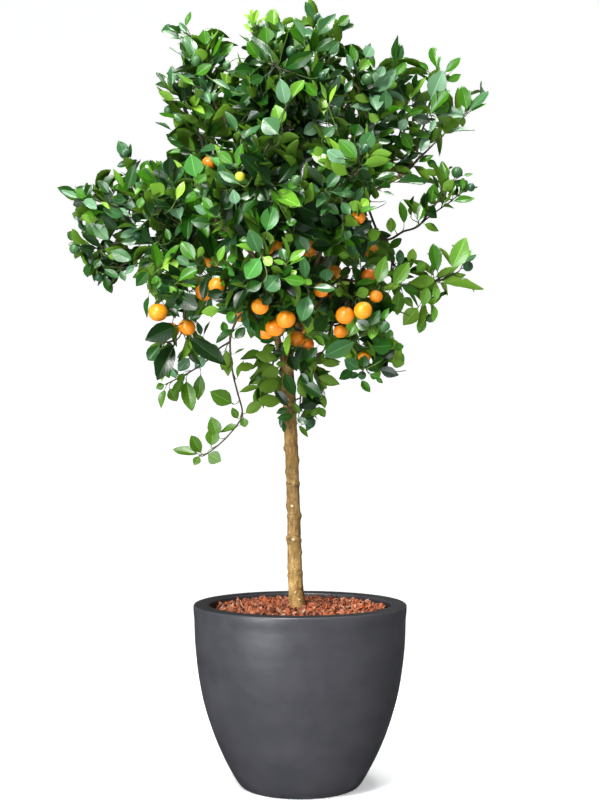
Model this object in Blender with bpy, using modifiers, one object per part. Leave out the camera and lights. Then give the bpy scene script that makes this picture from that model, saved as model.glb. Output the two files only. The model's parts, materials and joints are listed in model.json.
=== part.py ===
"""Calamondin orange tree, grown as a standard on one clear stem, in a round planter.

Metres, +Z up.  The origin is the middle of the planter's flat underside, +X is
the viewer's right and -Y is the front.  The planter, the root ball, the bark
mulch, the trunk, each bough and each mass of foliage is an object of its own.
"""
import math

import bmesh
import bpy
from mathutils import Matrix, Vector, noise
from mathutils.bvhtree import BVHTree

# ---------------------------------------------------------------- sizes
OBJECT_NAME = "calamondin_orange_tree"
GAP = 0.0003                 # air left between pieces that touch

# planter, a turned bowl shape with a broad lip that turns inwards
POT_HEIGHT = 0.341
POT_RIM_R = 0.200            # outside of the rim
POT_FOOT_R = 0.112           # where the curved wall meets the foot
POT_FLAT_R = 0.105           # flat part of the underside
POT_BELLY = 2.5              # how fast the wall swells out above the foot
POT_WALL = 0.012
POT_FLARE = 0.0015           # the rim stands this far proud of the wall
LIP_INNER_R = 0.171
LIP_DEPTH = 0.016
LIP_ROUND = 0.004            # rounding of the rim's edges
POT_STEPS = 36
POT_RINGS = 5

# what fills it
MULCH_TOP = POT_HEIGHT - 0.010
MULCH_R = 0.1605
MULCH_DEPTH = 0.034

# stem
TRUNK_BASE_R = 0.0138
TRUNK_FLARE_R = 0.0020       # added at the ground, gone 40 mm up
TRUNK_TOP_R = 0.0118
FORK = Vector((-0.0275, 0.0, 0.795))
TRUNK_FOOT_X = -0.0043
TRUNK_LEAN = -0.0184         # how far it leans left on its way up
TRUNK_STEP = 0.026

# crown
CROWN_CORE = (Vector((-0.010, 0.005, 1.000)), Vector((0.100, 0.075, 0.215)))
MASS_GAP = 0.0012
LUMP = 0.17                  # how uneven a mass is, as a part of its radius
MASS_GRAIN = ((14, 10), (10, 8))     # faces round and up a large mass, a small one

TIP_WIDTH = 16.0             # degrees, seen from the middle of a mass

# Each mass of foliage: centre, half sizes, lean in degrees about the view
# line, and the tips that stand out of it, each as a point that it reaches.
MASSES = {
    "crown_top_left": ((-0.182, 0.00, 1.318), (0.082, 0.110, 0.112), 2,
                       ((-0.207, 0.0, 1.458), (-0.266, 0.0, 1.420), (-0.270, 0.0, 1.312),
                        (-0.266, 0.0, 1.250))),
    "crown_top": ((-0.006, 0.02, 1.345), (0.096, 0.120, 0.106), 0,
                  ((0.010, 0.0, 1.478), (-0.100, 0.0, 1.456), (0.092, 0.0, 1.440))),
    "crown_top_right": ((0.138, 0.00, 1.280), (0.080, 0.120, 0.098), -8,
                        ((0.132, 0.0, 1.392), (0.182, 0.0, 1.402))),
    "crown_right_up": ((0.240, 0.00, 1.252), (0.110, 0.055, 0.062), 44,
                       ((0.252, 0.0, 1.394), (0.298, 0.0, 1.372), (0.356, 0.0, 1.302))),
    "crown_right": ((0.112, 0.00, 1.085), (0.056, 0.080, 0.105), 0, ()),
    "spray_right": ((0.238, 0.00, 1.082), (0.096, 0.042, 0.030), 33,
                    ((0.306, 0.0, 1.150), (0.330, 0.0, 1.120), (0.272, 0.0, 1.160))),
    "spray_right_low": ((0.240, 0.00, 0.955), (0.092, 0.048, 0.050), 6,
                        ((0.322, 0.0, 1.008), (0.236, 0.0, 0.858), (0.330, 0.0, 0.965))),
    "crown_left": ((-0.222, -0.02, 1.100), (0.088, 0.130, 0.100), 0, ()),
    "arm_left": ((-0.352, 0.00, 1.092), (0.080, 0.056, 0.060), -10,
                 ((-0.450, 0.0, 1.120), (-0.336, 0.0, 1.206))),
    "arm_left_low": ((-0.345, 0.00, 0.992), (0.074, 0.046, 0.044), 0,
                     ((-0.426, 0.0, 1.010), (-0.370, 0.0, 0.942))),
    "crown_left_low": ((-0.218, -0.02, 0.942), (0.084, 0.105, 0.070), 0, ()),
    "droop_left": ((-0.222, -0.05, 0.832), (0.068, 0.048, 0.058), 8,
                   ((-0.282, -0.05, 0.790),)),
    "crown_front_top": ((-0.035, -0.16, 1.255), (0.108, 0.115, 0.094), 0, ()),
    "crown_front": ((-0.068, -0.18, 1.090), (0.114, 0.138, 0.112), 0, ()),
    "crown_front_right": ((0.074, -0.15, 1.090), (0.094, 0.145, 0.118), 0, ()),
    "crown_front_low": ((-0.060, -0.15, 0.925), (0.112, 0.125, 0.084), 0, ()),
    "crown_low_right": ((0.114, -0.03, 0.878), (0.084, 0.118, 0.104), 0,
                        ((0.200, 0.0, 0.796), (0.142, 0.0, 0.748), (0.082, 0.0, 0.772))),
    "tuft_left": ((-0.074, 0.00, 0.778), (0.046, 0.046, 0.070), 0, ()),
    "tuft_right": ((0.026, 0.00, 0.770), (0.040, 0.046, 0.078), 0,
                   ((0.014, 0.0, 0.668),)),
    "hanging_side": ((-0.205, 0.00, 0.775), (0.072, 0.032, 0.034), 28,
                     ((-0.262, 0.0, 0.705),)),
    "hanging_mid": ((-0.148, 0.00, 0.727), (0.024, 0.018, 0.020), 0, ()),
    "hanging_tip": ((-0.178, 0.00, 0.645), (0.056, 0.030, 0.032), 36,
                    ((-0.238, 0.0, 0.628), (-0.164, 0.0, 0.602))),
    "crown_back_top": ((-0.020, 0.17, 1.290), (0.138, 0.130, 0.120), 0, ()),
    "crown_back_left": ((-0.195, 0.18, 1.125), (0.120, 0.140, 0.136), 0, ()),
    "crown_back_right": ((0.104, 0.18, 1.130), (0.104, 0.145, 0.138), 0, ()),
    "crown_back_low": ((-0.024, 0.17, 0.950), (0.134, 0.125, 0.104), 0, ()),
    "spray_back": ((-0.020, 0.320, 1.120), (0.085, 0.045, 0.075), 0, ()),
}

# Boughs: where each leaves its parent (a share of the parent's length), the
# mass that it grows into, its radius there and at its end, and how far it
# bows upwards on the way.
BOUGHS = {
    "bough_leader": (None, 1.00, "crown_top", 0.0064, 0.0034, 0.00),
    "bough_right": (None, 0.97, "crown_top_right", 0.0040, 0.0024, -0.03),
    "bough_front_low": ("bough_leader", 0.14, "crown_front_low", 0.0030, 0.0020, 0.01),
    "bough_left_low": ("bough_leader", 0.22, "crown_left_low", 0.0034, 0.0022, 0.01),
    "bough_left": ("bough_leader", 0.36, "crown_left", 0.0042, 0.0028, 0.02),
    "bough_front": ("bough_leader", 0.44, "crown_front", 0.0034, 0.0022, 0.01),
    "bough_back_left": ("bough_leader", 0.52, "crown_back_left", 0.0036, 0.0024, 0.01),
    "bough_top_left": ("bough_leader", 0.66, "crown_top_left", 0.0034, 0.0024, 0.00),
    "bough_back_top": ("bough_leader", 0.78, "crown_back_top", 0.0030, 0.0020, 0.00),
    "bough_low_right": ("bough_right", 0.20, "crown_low_right", 0.0026, 0.0018, 0.01),
    "bough_back_low": ("bough_right", 0.28, "crown_back_low", 0.0028, 0.0020, 0.01),
    "bough_right_arm": ("bough_right", 0.42, "crown_right", 0.0028, 0.0020, 0.01),
    "bough_front_right": ("bough_right", 0.52, "crown_front_right", 0.0028, 0.0020, 0.01),
    "bough_back_right": ("bough_right", 0.62, "crown_back_right", 0.0028, 0.0020, 0.01),
}
BOUGH_STEP = 0.030
LEADER_KNOTS = [Vector((-0.0410, 0.0, 0.831)), Vector((-0.0500, 0.0, 0.878)),
                Vector((-0.0460, 0.0, 0.990))]
RIGHT_KNOTS = [Vector((0.0000, 0.0, 0.870)), Vector((0.0300, 0.0, 0.980))]
KNOT_ROOM = 0.011            # foliage keeps this far from the limbs' knots

# The long bare twig that hangs at the lower left, in two lengths that meet at
# its bend, and the side twig that leaves it near its top.
HANG_R = (0.0019, 0.0015, 0.0013)
HANG_TOP = Vector((-0.114, 0.0, 0.884))
HANG_FORK = Vector((-0.131, 0.0, 0.833))
HANG_BEND = Vector((-0.109, 0.0, 0.697))

# finish: colour, roughness
FINISH = {
    "planter": ((0.062, 0.062, 0.070), 0.42),
    "root_ball": ((0.035, 0.022, 0.014), 0.95),
    "mulch": ((0.27, 0.105, 0.060), 0.90),
    "bark": ((0.36, 0.25, 0.13), 0.80),
    "twig": ((0.10, 0.13, 0.05), 0.65),
    "leaf": ((0.055, 0.135, 0.035), 0.45),
}


# ---------------------------------------------------------------- helpers
def collection(name):
    col = bpy.data.collections.new(name)
    bpy.context.scene.collection.children.link(col)
    return col


def finish(obj, kind, shift=0.0):
    """Give the object a material of its own, in the colour of its kind."""
    (r, g, b), rough = FINISH[kind]
    mat = bpy.data.materials.new(obj.name + "_" + kind)
    mat.use_nodes = True
    bsdf = next(n for n in mat.node_tree.nodes if n.type == "BSDF_PRINCIPLED")
    k = 1.0 + shift
    bsdf.inputs["Base Color"].default_value = (r * k, g * k, b * k, 1.0)
    bsdf.inputs["Roughness"].default_value = rough
    bsdf.inputs["Metallic"].default_value = 0.0
    obj.data.materials.append(mat)
    return obj


def turned(name, profile, steps, kind, col):
    """A solid of revolution: the profile runs down its outer side."""
    mesh = bpy.data.meshes.new(name)
    mesh.from_pydata([(r, 0.0, z) for r, z in profile],
                     [(i, i + 1) for i in range(len(profile) - 1)], [])
    obj = bpy.data.objects.new(name, mesh)
    col.objects.link(obj)
    mod = obj.modifiers.new("turn", "SCREW")
    mod.axis = "Z"
    mod.angle = 2 * math.pi
    mod.steps = steps
    mod.render_steps = steps
    mod.use_merge_vertices = True
    mod.merge_threshold = 0.00005
    mod.use_smooth_shade = True
    return finish(obj, kind)


def limb(name, points, radii, sides, kind, col):
    """One tapering limb: a round bar along the points, with flat ends."""
    curve = bpy.data.curves.new(name, "CURVE")
    curve.dimensions = "3D"
    curve.bevel_depth = 1.0
    curve.bevel_resolution = sides
    curve.use_fill_caps = True
    spline = curve.splines.new("POLY")
    spline.points.add(len(points) - 1)
    for p, co, r in zip(spline.points, points, radii):
        p.co = (co.x, co.y, co.z, 1.0)
        p.radius = r
    obj = bpy.data.objects.new(name, curve)
    col.objects.link(obj)
    return finish(obj, kind)


def smooth_path(p0, p1, bow, step):
    """A gently bowed path between two points, with a point every step."""
    n = max(3, int(round((p1 - p0).length / step)))
    side = Vector((0.0, 0.0, 1.0))
    return [p0.lerp(p1, i / n) + side * bow * math.sin(math.pi * i / n) for i in range(n + 1)]


# ---------------------------------------------------------------- planter
def wall_r(z):
    """Outer radius of the planter's wall at a height."""
    t = min(max(z / POT_HEIGHT, 0.0), 1.0)
    swell = 1.0 - (1.0 - t) ** POT_BELLY
    r = POT_FOOT_R + (POT_RIM_R - POT_FLARE - POT_FOOT_R) * swell
    flare = min(max((z - POT_HEIGHT + 0.030) / 0.020, 0.0), 1.0)
    return r + POT_FLARE * flare * flare * (3 - 2 * flare)


def rounded(cx, cz, r, a0, a1, n):
    return [(cx + r * math.cos(math.radians(a0 + (a1 - a0) * i / n)),
             cz + r * math.sin(math.radians(a0 + (a1 - a0) * i / n))) for i in range(n + 1)]


def hollow():
    """The planter's inside, from its floor up to the underside of the lip."""
    top = POT_HEIGHT - LIP_DEPTH
    heights = [POT_WALL + (top - POT_WALL) * i / POT_RINGS for i in range(POT_RINGS + 1)]
    return [(wall_r(z) - POT_WALL - (0.006 if i == 0 else 0.0), z) for i, z in enumerate(heights)]


def build_planter(col):
    h = POT_HEIGHT
    top = [(LIP_INNER_R, h - LIP_DEPTH)]
    top += rounded(LIP_INNER_R + LIP_ROUND, h - LIP_ROUND, LIP_ROUND, 180, 90, 2)
    top += rounded(POT_RIM_R - LIP_ROUND, h - LIP_ROUND, LIP_ROUND, 90, 0, 2)
    outer = []
    n = 9
    for i in range(n + 1):
        z = (h - 0.012) * (1 - i / n) + 0.010 * (i / n)
        outer.append((wall_r(z), z))
    foot = [(POT_FOOT_R + 0.0005, 0.0035), (POT_FLAT_R, 0.0), (0.0, 0.0)]
    inside = [(0.0, POT_WALL)] + hollow()
    # from the middle of the floor, up the inside, over the lip and down
    loop = inside + top + outer + foot
    obj = turned("planter", loop, POT_STEPS, "planter", col)
    return obj


def build_fill(col):
    top = MULCH_TOP - MULCH_DEPTH - GAP
    slack = 0.0010
    ring = hollow()
    upper = [p for p in ring if p[1] > top][0]
    lower = [p for p in ring if p[1] <= top]
    t = (top - lower[-1][1]) / (upper[1] - lower[-1][1])
    edge = lower[-1][0] + (upper[0] - lower[-1][0]) * t
    profile = [(0.0, top), (edge - slack, top)]
    profile += [(r - slack, z + (GAP if i == len(lower) - 1 else 0.0))
                for i, (r, z) in enumerate(reversed(lower))]
    profile.append((0.0, profile[-1][1]))
    turned("root_ball", profile, POT_STEPS, "root_ball", col)

    low = MULCH_TOP - MULCH_DEPTH
    edge = 0.006
    profile = [(0.0, MULCH_TOP), (MULCH_R - edge, MULCH_TOP),
               (MULCH_R - edge * 0.3, MULCH_TOP - edge * 0.35), (MULCH_R, MULCH_TOP - edge),
               (MULCH_R, low), (0.0, low)]
    turned("bark_mulch", profile, 32, "mulch", col)


# ---------------------------------------------------------------- stem
def trunk_axis(z):
    """Middle of the stem at a height: it leans left, with a slow wave in it."""
    t = (z - MULCH_TOP) / (FORK.z - MULCH_TOP)
    x = TRUNK_FOOT_X + TRUNK_LEAN * t
    x -= 0.0025 * math.sin(math.pi * min(t / 0.38, 1.0))
    x += (FORK.x - TRUNK_FOOT_X - TRUNK_LEAN) * max(0.0, (t - 0.8) / 0.2) ** 2
    y = 0.0022 * math.sin(t * 6.3 + 1.0) * math.sin(math.pi * t)
    return Vector((x, y, z))


def trunk_r(z):
    t = (z - MULCH_TOP) / (FORK.z - MULCH_TOP)
    r = TRUNK_BASE_R + (TRUNK_TOP_R - TRUNK_BASE_R) * min(1.0, t * 1.25) ** 0.8
    r += TRUNK_FLARE_R * max(0.0, 1.0 - (z - MULCH_TOP) / 0.040) ** 2
    # it narrows to the leader in the last stretch below the fork
    k = max(0.0, (t - 0.955) / 0.045)
    return r + (BOUGHS["bough_leader"][3] + 0.0012 - r) * k * k


def build_trunk(col):
    z0 = MULCH_TOP + GAP
    zs = [z0, z0 + 0.004]
    n = int((FORK.z - zs[-1]) / TRUNK_STEP)
    zs += [zs[-1] + (FORK.z - zs[-1]) * (i + 1) / n for i in range(n)]
    pts = [trunk_axis(z) for z in zs]
    pts[0] = Vector((pts[1].x, pts[1].y, z0))      # the cut at the ground is level
    limb("trunk", pts, [trunk_r(z) for z in zs], 3, "bark", col)
    return pts


# ---------------------------------------------------------------- crown
def turn_of(lean):
    return Matrix.Rotation(math.radians(-lean), 3, "Y")


def support(radii, rot, n):
    """How far an ellipsoid reaches from its middle along a direction."""
    m = rot.transposed() @ n
    return math.sqrt(sum((r * c) ** 2 for r, c in zip(radii, m)))


def cutting_planes(name):
    """Flat faces that keep a mass clear of the others, the core and the stem.

    Each is a direction and a distance from the middle of the mass."""
    c, radii, lean, _ = MASSES[name]
    c, radii, rot = Vector(c), Vector(radii), turn_of(lean)
    planes = []
    others = [(Vector(o[0]), Vector(o[1]), turn_of(o[2])) for k, o in MASSES.items() if k != name]
    others.append((CROWN_CORE[0], CROWN_CORE[1], Matrix.Identity(3)))
    for oc, oradii, orot in others:
        d = oc - c
        n = d.normalized()
        mine, theirs = support(radii, rot, n), support(oradii, orot, n)
        planes.append((n, d.length * mine / (mine + theirs) - MASS_GAP))
    if c.z < 0.95:
        axis = trunk_axis(min(c.z, FORK.z))
        d = Vector((axis.x - c.x, axis.y - c.y, 0.0))
        planes.append((d.normalized(), d.length - TRUNK_TOP_R - 0.004))
        for knot in LEADER_KNOTS[:2] + RIGHT_KNOTS[:1]:
            d = knot - c
            planes.append((d.normalized(), d.length - KNOT_ROOM))
    return planes


def foliage_mass(name, index, col):
    """One closed uneven mass: a ball stretched, lumped, drawn out and cut."""
    c, radii, lean, tips = MASSES[name]
    c, rot = Vector(c), turn_of(lean)
    planes = cutting_planes(name)
    off = Vector((index * 7.31, index * 3.17, index * 5.53))
    bm = bmesh.new()
    around, rows = MASS_GRAIN[0] if min(radii) > 0.060 else MASS_GRAIN[1]
    bmesh.ops.create_uvsphere(bm, u_segments=around, v_segments=rows, radius=1.0)
    for v in bm.verts:
        d = v.co.normalized()
        lump = 1.0 + LUMP * noise.noise(d * 1.6 + off) + 0.6 * LUMP * noise.noise(d * 4.1 - off)
        p = rot @ Vector((d.x * radii[0], d.y * radii[1], d.z * radii[2])) * lump
        for tip in tips:
            t = Vector(tip) - c
            near = p.angle(t)
            w = min(1.0, 1.5 * math.exp(-(near / math.radians(TIP_WIDTH)) ** 2))
            p *= 1.0 + w * max(0.0, t.length / p.length - 1.0)
        for n, dist in planes:
            s = p.dot(n)
            if s > dist:
                p *= dist / s
        v.co = p + c
    mesh = bpy.data.meshes.new(name)
    bm.to_mesh(mesh)
    bm.free()
    obj = bpy.data.objects.new(name, mesh)
    col.objects.link(obj)
    finish(obj, "leaf", 0.25 * math.sin(index * 2.4))
    return obj


def tree_of(obj):
    mesh = obj.data
    return BVHTree.FromPolygons([v.co for v in mesh.vertices], [p.vertices[:] for p in mesh.polygons])


def inside(tree, p, centre):
    """Whether a point lies in a mass, which is open to view from its middle."""
    d = p - centre
    hit = tree.ray_cast(centre, d.normalized(), d.length)
    return hit[0] is not None and (hit[0] - centre).length < d.length


def clearance(masses, p):
    best = 1e9
    for centre, tree in masses:
        loc, _n, _i, dist = tree.find_nearest(p)
        d = p - centre
        hit = tree.ray_cast(centre, d.normalized())
        if hit[0] is not None and (hit[0] - centre).length > d.length:
            dist = -dist
        best = min(best, dist)
    return best


def trimmed(path, radii, masses):
    """The part of a limb's path that lies in the open, ending at a mass."""
    fine, fr = [], []
    for i in range(len(path) - 1):
        m = max(2, int((path[i + 1] - path[i]).length / 0.0015))
        for j in range(m):
            fine.append(path[i].lerp(path[i + 1], j / m))
            fr.append(radii[i] + (radii[i + 1] - radii[i]) * j / m)
    end = 0
    for k, (p, r) in enumerate(zip(fine, fr)):
        if clearance(masses, p) < r + 2 * GAP:
            break
        end = k
    total = end
    n = max(3, int(total * 0.0015 / BOUGH_STEP))
    idx = [round(total * i / n) for i in range(n + 1)]
    return [fine[i] for i in idx], [fr[i] for i in idx]


def build_boughs(masses, col):
    trees = [(Vector(MASSES[o.name][0]), tree_of(o)) for o in masses]
    paths = {}
    for name, (parent, share, target, r0, r1, bow) in BOUGHS.items():
        goal = Vector(MASSES[target][0])
        if name == "bough_leader":
            below = trunk_axis(FORK.z - 0.02)
            start = FORK + (FORK - below).normalized() * GAP * 2
            path = bend([start] + LEADER_KNOTS + [goal])
        else:
            if parent is None:
                base, ax, pr = FORK - Vector((0, 0, 0.008)), Vector((0, 0, 1)), trunk_r(FORK.z - 0.008)
            else:
                pp, prr = paths[parent]
                k = share * (len(pp) - 1)
                i = min(int(k), len(pp) - 2)
                base = pp[i].lerp(pp[i + 1], k - i)
                ax = (pp[i + 1] - pp[i]).normalized()
                pr = prr[i]
            if name == "bough_right":
                first = RIGHT_KNOTS[0] - base
            else:
                first = goal - base
                first.z = max(first.z, 0.35 * first.length)
            d = first.normalized()
            ang = d.angle(ax)
            s0 = (pr + 3 * GAP + r0 * abs(math.cos(ang))) / math.sin(ang)
            start = base + d * s0
            if name == "bough_right":
                path = bend([start] + RIGHT_KNOTS + [goal])
            else:
                path = smooth_path(start, goal, bow, BOUGH_STEP)
        n = len(path) - 1
        radii = [r0 + (r1 - r0) * min(1.0, 1.3 * i / n) for i in range(n + 1)]
        path, radii = trimmed(path, radii, trees)
        paths[name] = (path, radii)
        if name == "bough_leader":               # square to the stem that it grows on from
            up = (FORK - below).normalized()
            path = [path[0], path[0] + up * 0.007] + path[1:]
            radii = [radii[0]] + radii
        limb(name, path, radii, 2, "bark", col)
    return paths


def bend(knots):
    """A smooth path through a few knots."""
    out = []
    pts = [knots[0] * 2 - knots[1]] + knots + [knots[-1] * 2 - knots[-2]]
    for i in range(1, len(pts) - 2):
        a, b, c, d = pts[i - 1:i + 3]
        n = max(2, int((c - b).length / BOUGH_STEP))
        for j in range(n):
            t = j / n
            out.append(0.5 * ((2 * b) + (c - a) * t + (2 * a - 5 * b + 4 * c - d) * t * t
                              + (3 * b - a - 3 * c + d) * t ** 3))
    out.append(knots[-1])
    return out


def build_hanging(masses, col):
    trees = [(Vector(MASSES[o.name][0]), tree_of(o)) for o in masses]
    r0, r1, r2 = HANG_R
    # upper length, from the crown down to the bend
    path = bend([HANG_BEND + Vector((0.0, 0.0, 0.002)), Vector((-0.120, 0.0, 0.743)),
                 Vector((-0.127, 0.0, 0.790)), HANG_FORK, HANG_TOP, HANG_TOP + Vector((0.02, 0, 0.06))])
    radii = [r1 + (r0 - r1) * min(1.0, i / 5) for i in range(len(path))]
    path, radii = trimmed(path, radii, trees)
    limb("hanging_twig_upper", path, radii, 2, "twig", col)
    # lower length, from the bend out to the tip
    path = bend([HANG_BEND - Vector((0.0012, 0.0, 0.0012)), Vector((-0.1165, 0.0, 0.677)),
                 Vector((-0.139, 0.0, 0.649)), Vector(MASSES["hanging_tip"][0])])
    radii = [r2] * len(path)
    path, radii = trimmed(path, radii, trees)
    limb("hanging_twig_lower", path, radii, 2, "twig", col)
    # side twig
    d = (Vector((-0.175, 0.0, 0.795)) - HANG_FORK).normalized()
    path = smooth_path(HANG_FORK + d * 0.0042, Vector(MASSES["hanging_side"][0]), -0.002, 0.02)
    radii = [r2] * len(path)
    path, radii = trimmed(path, radii, trees)
    limb("hanging_twig_side", path, radii, 2, "twig", col)


# ---------------------------------------------------------------- assembly
def main():
    for obj in list(bpy.data.objects):
        bpy.data.objects.remove(obj, do_unlink=True)
    col = collection(OBJECT_NAME)
    build_planter(col)
    build_fill(col)
    build_trunk(col)
    masses = [foliage_mass(name, i + 1, col) for i, name in enumerate(MASSES)]
    bpy.context.view_layer.update()
    build_boughs(masses, col)
    build_hanging(masses, col)
    root = bpy.data.objects.new("tree_origin", None)
    col.objects.link(root)
    for obj in col.objects:
        if obj is not root:
            obj.parent = root


main()
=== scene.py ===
"""Looks of the calamondin orange tree in its planter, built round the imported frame.

Metres, +Z up, origin at the middle of the planter's foot, -Y to the front.
Order: helpers, finishes, planter and mulch, stem, boughs and twigs grown by a
seeded rule, fruit, leaves, studio.
"""

import json
import math

import bmesh
import bpy
import numpy as np
from mathutils import Matrix, Vector, noise
from mathutils.bvhtree import BVHTree

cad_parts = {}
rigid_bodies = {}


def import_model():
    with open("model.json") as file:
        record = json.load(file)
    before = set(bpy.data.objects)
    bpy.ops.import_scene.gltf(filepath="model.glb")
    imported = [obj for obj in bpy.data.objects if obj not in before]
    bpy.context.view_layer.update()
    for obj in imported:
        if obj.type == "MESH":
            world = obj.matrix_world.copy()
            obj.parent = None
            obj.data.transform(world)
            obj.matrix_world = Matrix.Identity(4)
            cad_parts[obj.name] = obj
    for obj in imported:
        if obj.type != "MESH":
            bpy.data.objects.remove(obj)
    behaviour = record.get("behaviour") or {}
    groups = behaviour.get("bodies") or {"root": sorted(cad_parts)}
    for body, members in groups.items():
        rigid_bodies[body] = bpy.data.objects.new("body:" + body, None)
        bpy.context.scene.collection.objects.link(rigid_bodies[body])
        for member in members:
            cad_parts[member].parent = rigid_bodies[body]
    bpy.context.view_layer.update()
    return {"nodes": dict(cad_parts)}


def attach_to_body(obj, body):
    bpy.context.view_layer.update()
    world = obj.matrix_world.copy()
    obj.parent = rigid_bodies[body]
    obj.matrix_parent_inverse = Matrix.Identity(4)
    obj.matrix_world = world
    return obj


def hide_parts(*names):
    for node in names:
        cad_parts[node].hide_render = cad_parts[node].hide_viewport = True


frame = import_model()
NODES = frame["nodes"]
rng = np.random.default_rng(20)

# ------------------------------------------------------------------ sizes
POT_HEIGHT, POT_RIM_R, POT_FOOT_R, POT_FLAT_R = 0.341, 0.200, 0.112, 0.105
POT_BELLY, POT_WALL, POT_FLARE = 2.5, 0.012, 0.0015
LIP_INNER_R, LIP_DEPTH, LIP_ROUND = 0.171, 0.016, 0.0045
MULCH_TOP, MULCH_R = 0.331, 0.1605
TRUNK_BASE_R, TRUNK_FLARE_R, TRUNK_TOP_R = 0.0138, 0.0020, 0.0118
TRUNK_FOOT_X, TRUNK_LEAN = -0.0043, -0.0184
FORK = Vector((-0.0275, 0.0, 0.795))
LEADER_R = 0.0064

# the photo's camera: its distance, height and focal length in pixels
CAM_DIST, CAM_Z, CAM_F, PIXEL = 2.6, 0.668, 1383.0, 0.00188


def at(px, py, y=0.0):
    """The point seen at a place in the 600 x 800 picture, at depth y."""
    k = (CAM_DIST + y) / CAM_DIST
    return Vector(((px - 300) * PIXEL * k, y, CAM_Z + ((784 - py) * PIXEL - CAM_Z) * k))


def seen(p):
    """Where a point is seen in the picture, in pixels."""
    k = (CAM_DIST + p[1]) / CAM_DIST
    return 300 + p[0] / PIXEL / k, 784 - ((p[2] - CAM_Z) / k + CAM_Z) / PIXEL


# ------------------------------------------------------------------ meshes
def mesh_object(name, verts, polys, mats, index=None, uv=None, smooth=True, sharp=None):
    """A mesh from numpy arrays: polys is a list of (n, k) arrays of corners."""
    verts = np.asarray(verts, np.float32)
    me = bpy.data.meshes.new(name)
    me.vertices.add(len(verts))
    me.vertices.foreach_set("co", verts.ravel())
    loops = np.concatenate([np.asarray(p, np.int32).ravel() for p in polys])
    counts = np.concatenate([np.full(len(p), np.asarray(p).shape[1], np.int32) for p in polys])
    starts = np.concatenate([[0], np.cumsum(counts)[:-1]]).astype(np.int32)
    me.loops.add(len(loops))
    me.loops.foreach_set("vertex_index", loops)
    me.polygons.add(len(counts))
    me.polygons.foreach_set("loop_start", starts)
    if index is not None:
        me.polygons.foreach_set("material_index", np.asarray(index, np.int32))
    me.polygons.foreach_set("use_smooth", np.full(len(counts), smooth, bool))
    me.update(calc_edges=True)
    if uv is not None:
        layer = me.uv_layers.new(name="UVMap")
        layer.data.foreach_set("uv", np.asarray(uv, np.float32)[loops].ravel())
    if sharp is not None:
        ev = np.zeros(len(me.edges) * 2, np.int32)
        me.edges.foreach_get("vertices", ev)
        flags = sharp(ev.reshape(-1, 2))
        attr = me.attributes.new("sharp_edge", "BOOLEAN", "EDGE")
        attr.data.foreach_set("value", flags)
    for m in mats:
        me.materials.append(m)
    obj = bpy.data.objects.new(name, me)
    bpy.context.scene.collection.objects.link(obj)
    return obj


def spin(name, profile, steps, mats, wobble=None, close=True):
    """A turned surface with a fine grid: the profile runs down the outside."""
    prof = np.array(profile, float)
    n = len(prof)
    a = np.arange(steps) * 2 * math.pi / steps
    r, z = prof[:, 0][:, None], prof[:, 1][:, None]
    x, y = r * np.cos(a), r * np.sin(a)
    zz = np.repeat(z, steps, axis=1)
    if wobble is not None:
        d = wobble(x, y, zz)
        k = 1 + d / np.maximum(r, 1e-4)
        x, y = x * k, y * k
    verts = np.stack([x, y, zz], -1).reshape(-1, 3)
    i, j = np.meshgrid(np.arange(n - 1), np.arange(steps), indexing="ij")
    jj = (j + 1) % steps
    quads = np.stack([i * steps + j, (i + 1) * steps + j, (i + 1) * steps + jj, i * steps + jj], -1)
    return mesh_object(name, verts, [quads.reshape(-1, 4)], mats)


def curve_through(knots, step):
    """Points along a smooth curve through the knots."""
    out = []
    pts = [knots[0] * 2 - knots[1]] + list(knots) + [knots[-1] * 2 - knots[-2]]
    for i in range(1, len(pts) - 2):
        a, b, c, d = pts[i - 1:i + 3]
        n = max(2, int(round((c - b).length / step)))
        for j in range(n):
            t = j / n
            out.append(0.5 * ((2 * b) + (c - a) * t + (2 * a - 5 * b + 4 * c - d) * t * t
                              + (3 * b - a - 3 * c + d) * t ** 3))
    out.append(knots[-1].copy())
    return out


# ------------------------------------------------------------------ finishes
def material(name, color, rough, spec=0.5, coat=0.0, coat_rough=0.2, sheen=0.0):
    m = bpy.data.materials.new(name)
    m.use_nodes = True
    b = next(n for n in m.node_tree.nodes if n.type == "BSDF_PRINCIPLED")
    b.inputs["Base Color"].default_value = (*color, 1.0)
    b.inputs["Roughness"].default_value = rough
    b.inputs["Specular IOR Level"].default_value = spec
    if coat:
        b.inputs["Coat Weight"].default_value = coat
        b.inputs["Coat Roughness"].default_value = coat_rough
    m.diffuse_color = (*color, 1.0)
    return m, m.node_tree, b


def node(tree, kind, **values):
    n = tree.nodes.new(kind)
    for k, v in values.items():
        if hasattr(n, k):
            setattr(n, k, v)
        else:
            n.inputs[k.replace("_", " ")].default_value = v
    return n


def math_node(tree, op, a, b=None, clamp=False):
    n = tree.nodes.new("ShaderNodeMath")
    n.operation = op
    n.use_clamp = clamp
    for i, v in enumerate((a, b)):
        if v is None:
            continue
        if isinstance(v, (int, float)):
            n.inputs[i].default_value = v
        else:
            tree.links.new(v, n.inputs[i])
    return n.outputs[0]


def add_bump(tree, bsdf, height, strength, distance, below=None):
    n = tree.nodes.new("ShaderNodeBump")
    n.inputs["Strength"].default_value = strength
    n.inputs["Distance"].default_value = distance
    tree.links.new(height, n.inputs["Height"])
    if below is not None:
        tree.links.new(below, n.inputs["Normal"])
    tree.links.new(n.outputs[0], bsdf.inputs["Normal"])
    return n.outputs[0]


def coords(tree, scale=(1, 1, 1)):
    tc = tree.nodes.new("ShaderNodeTexCoord")
    mp = tree.nodes.new("ShaderNodeMapping")
    mp.inputs["Scale"].default_value = scale
    tree.links.new(tc.outputs["Object"], mp.inputs["Vector"])
    return mp.outputs[0]


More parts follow.
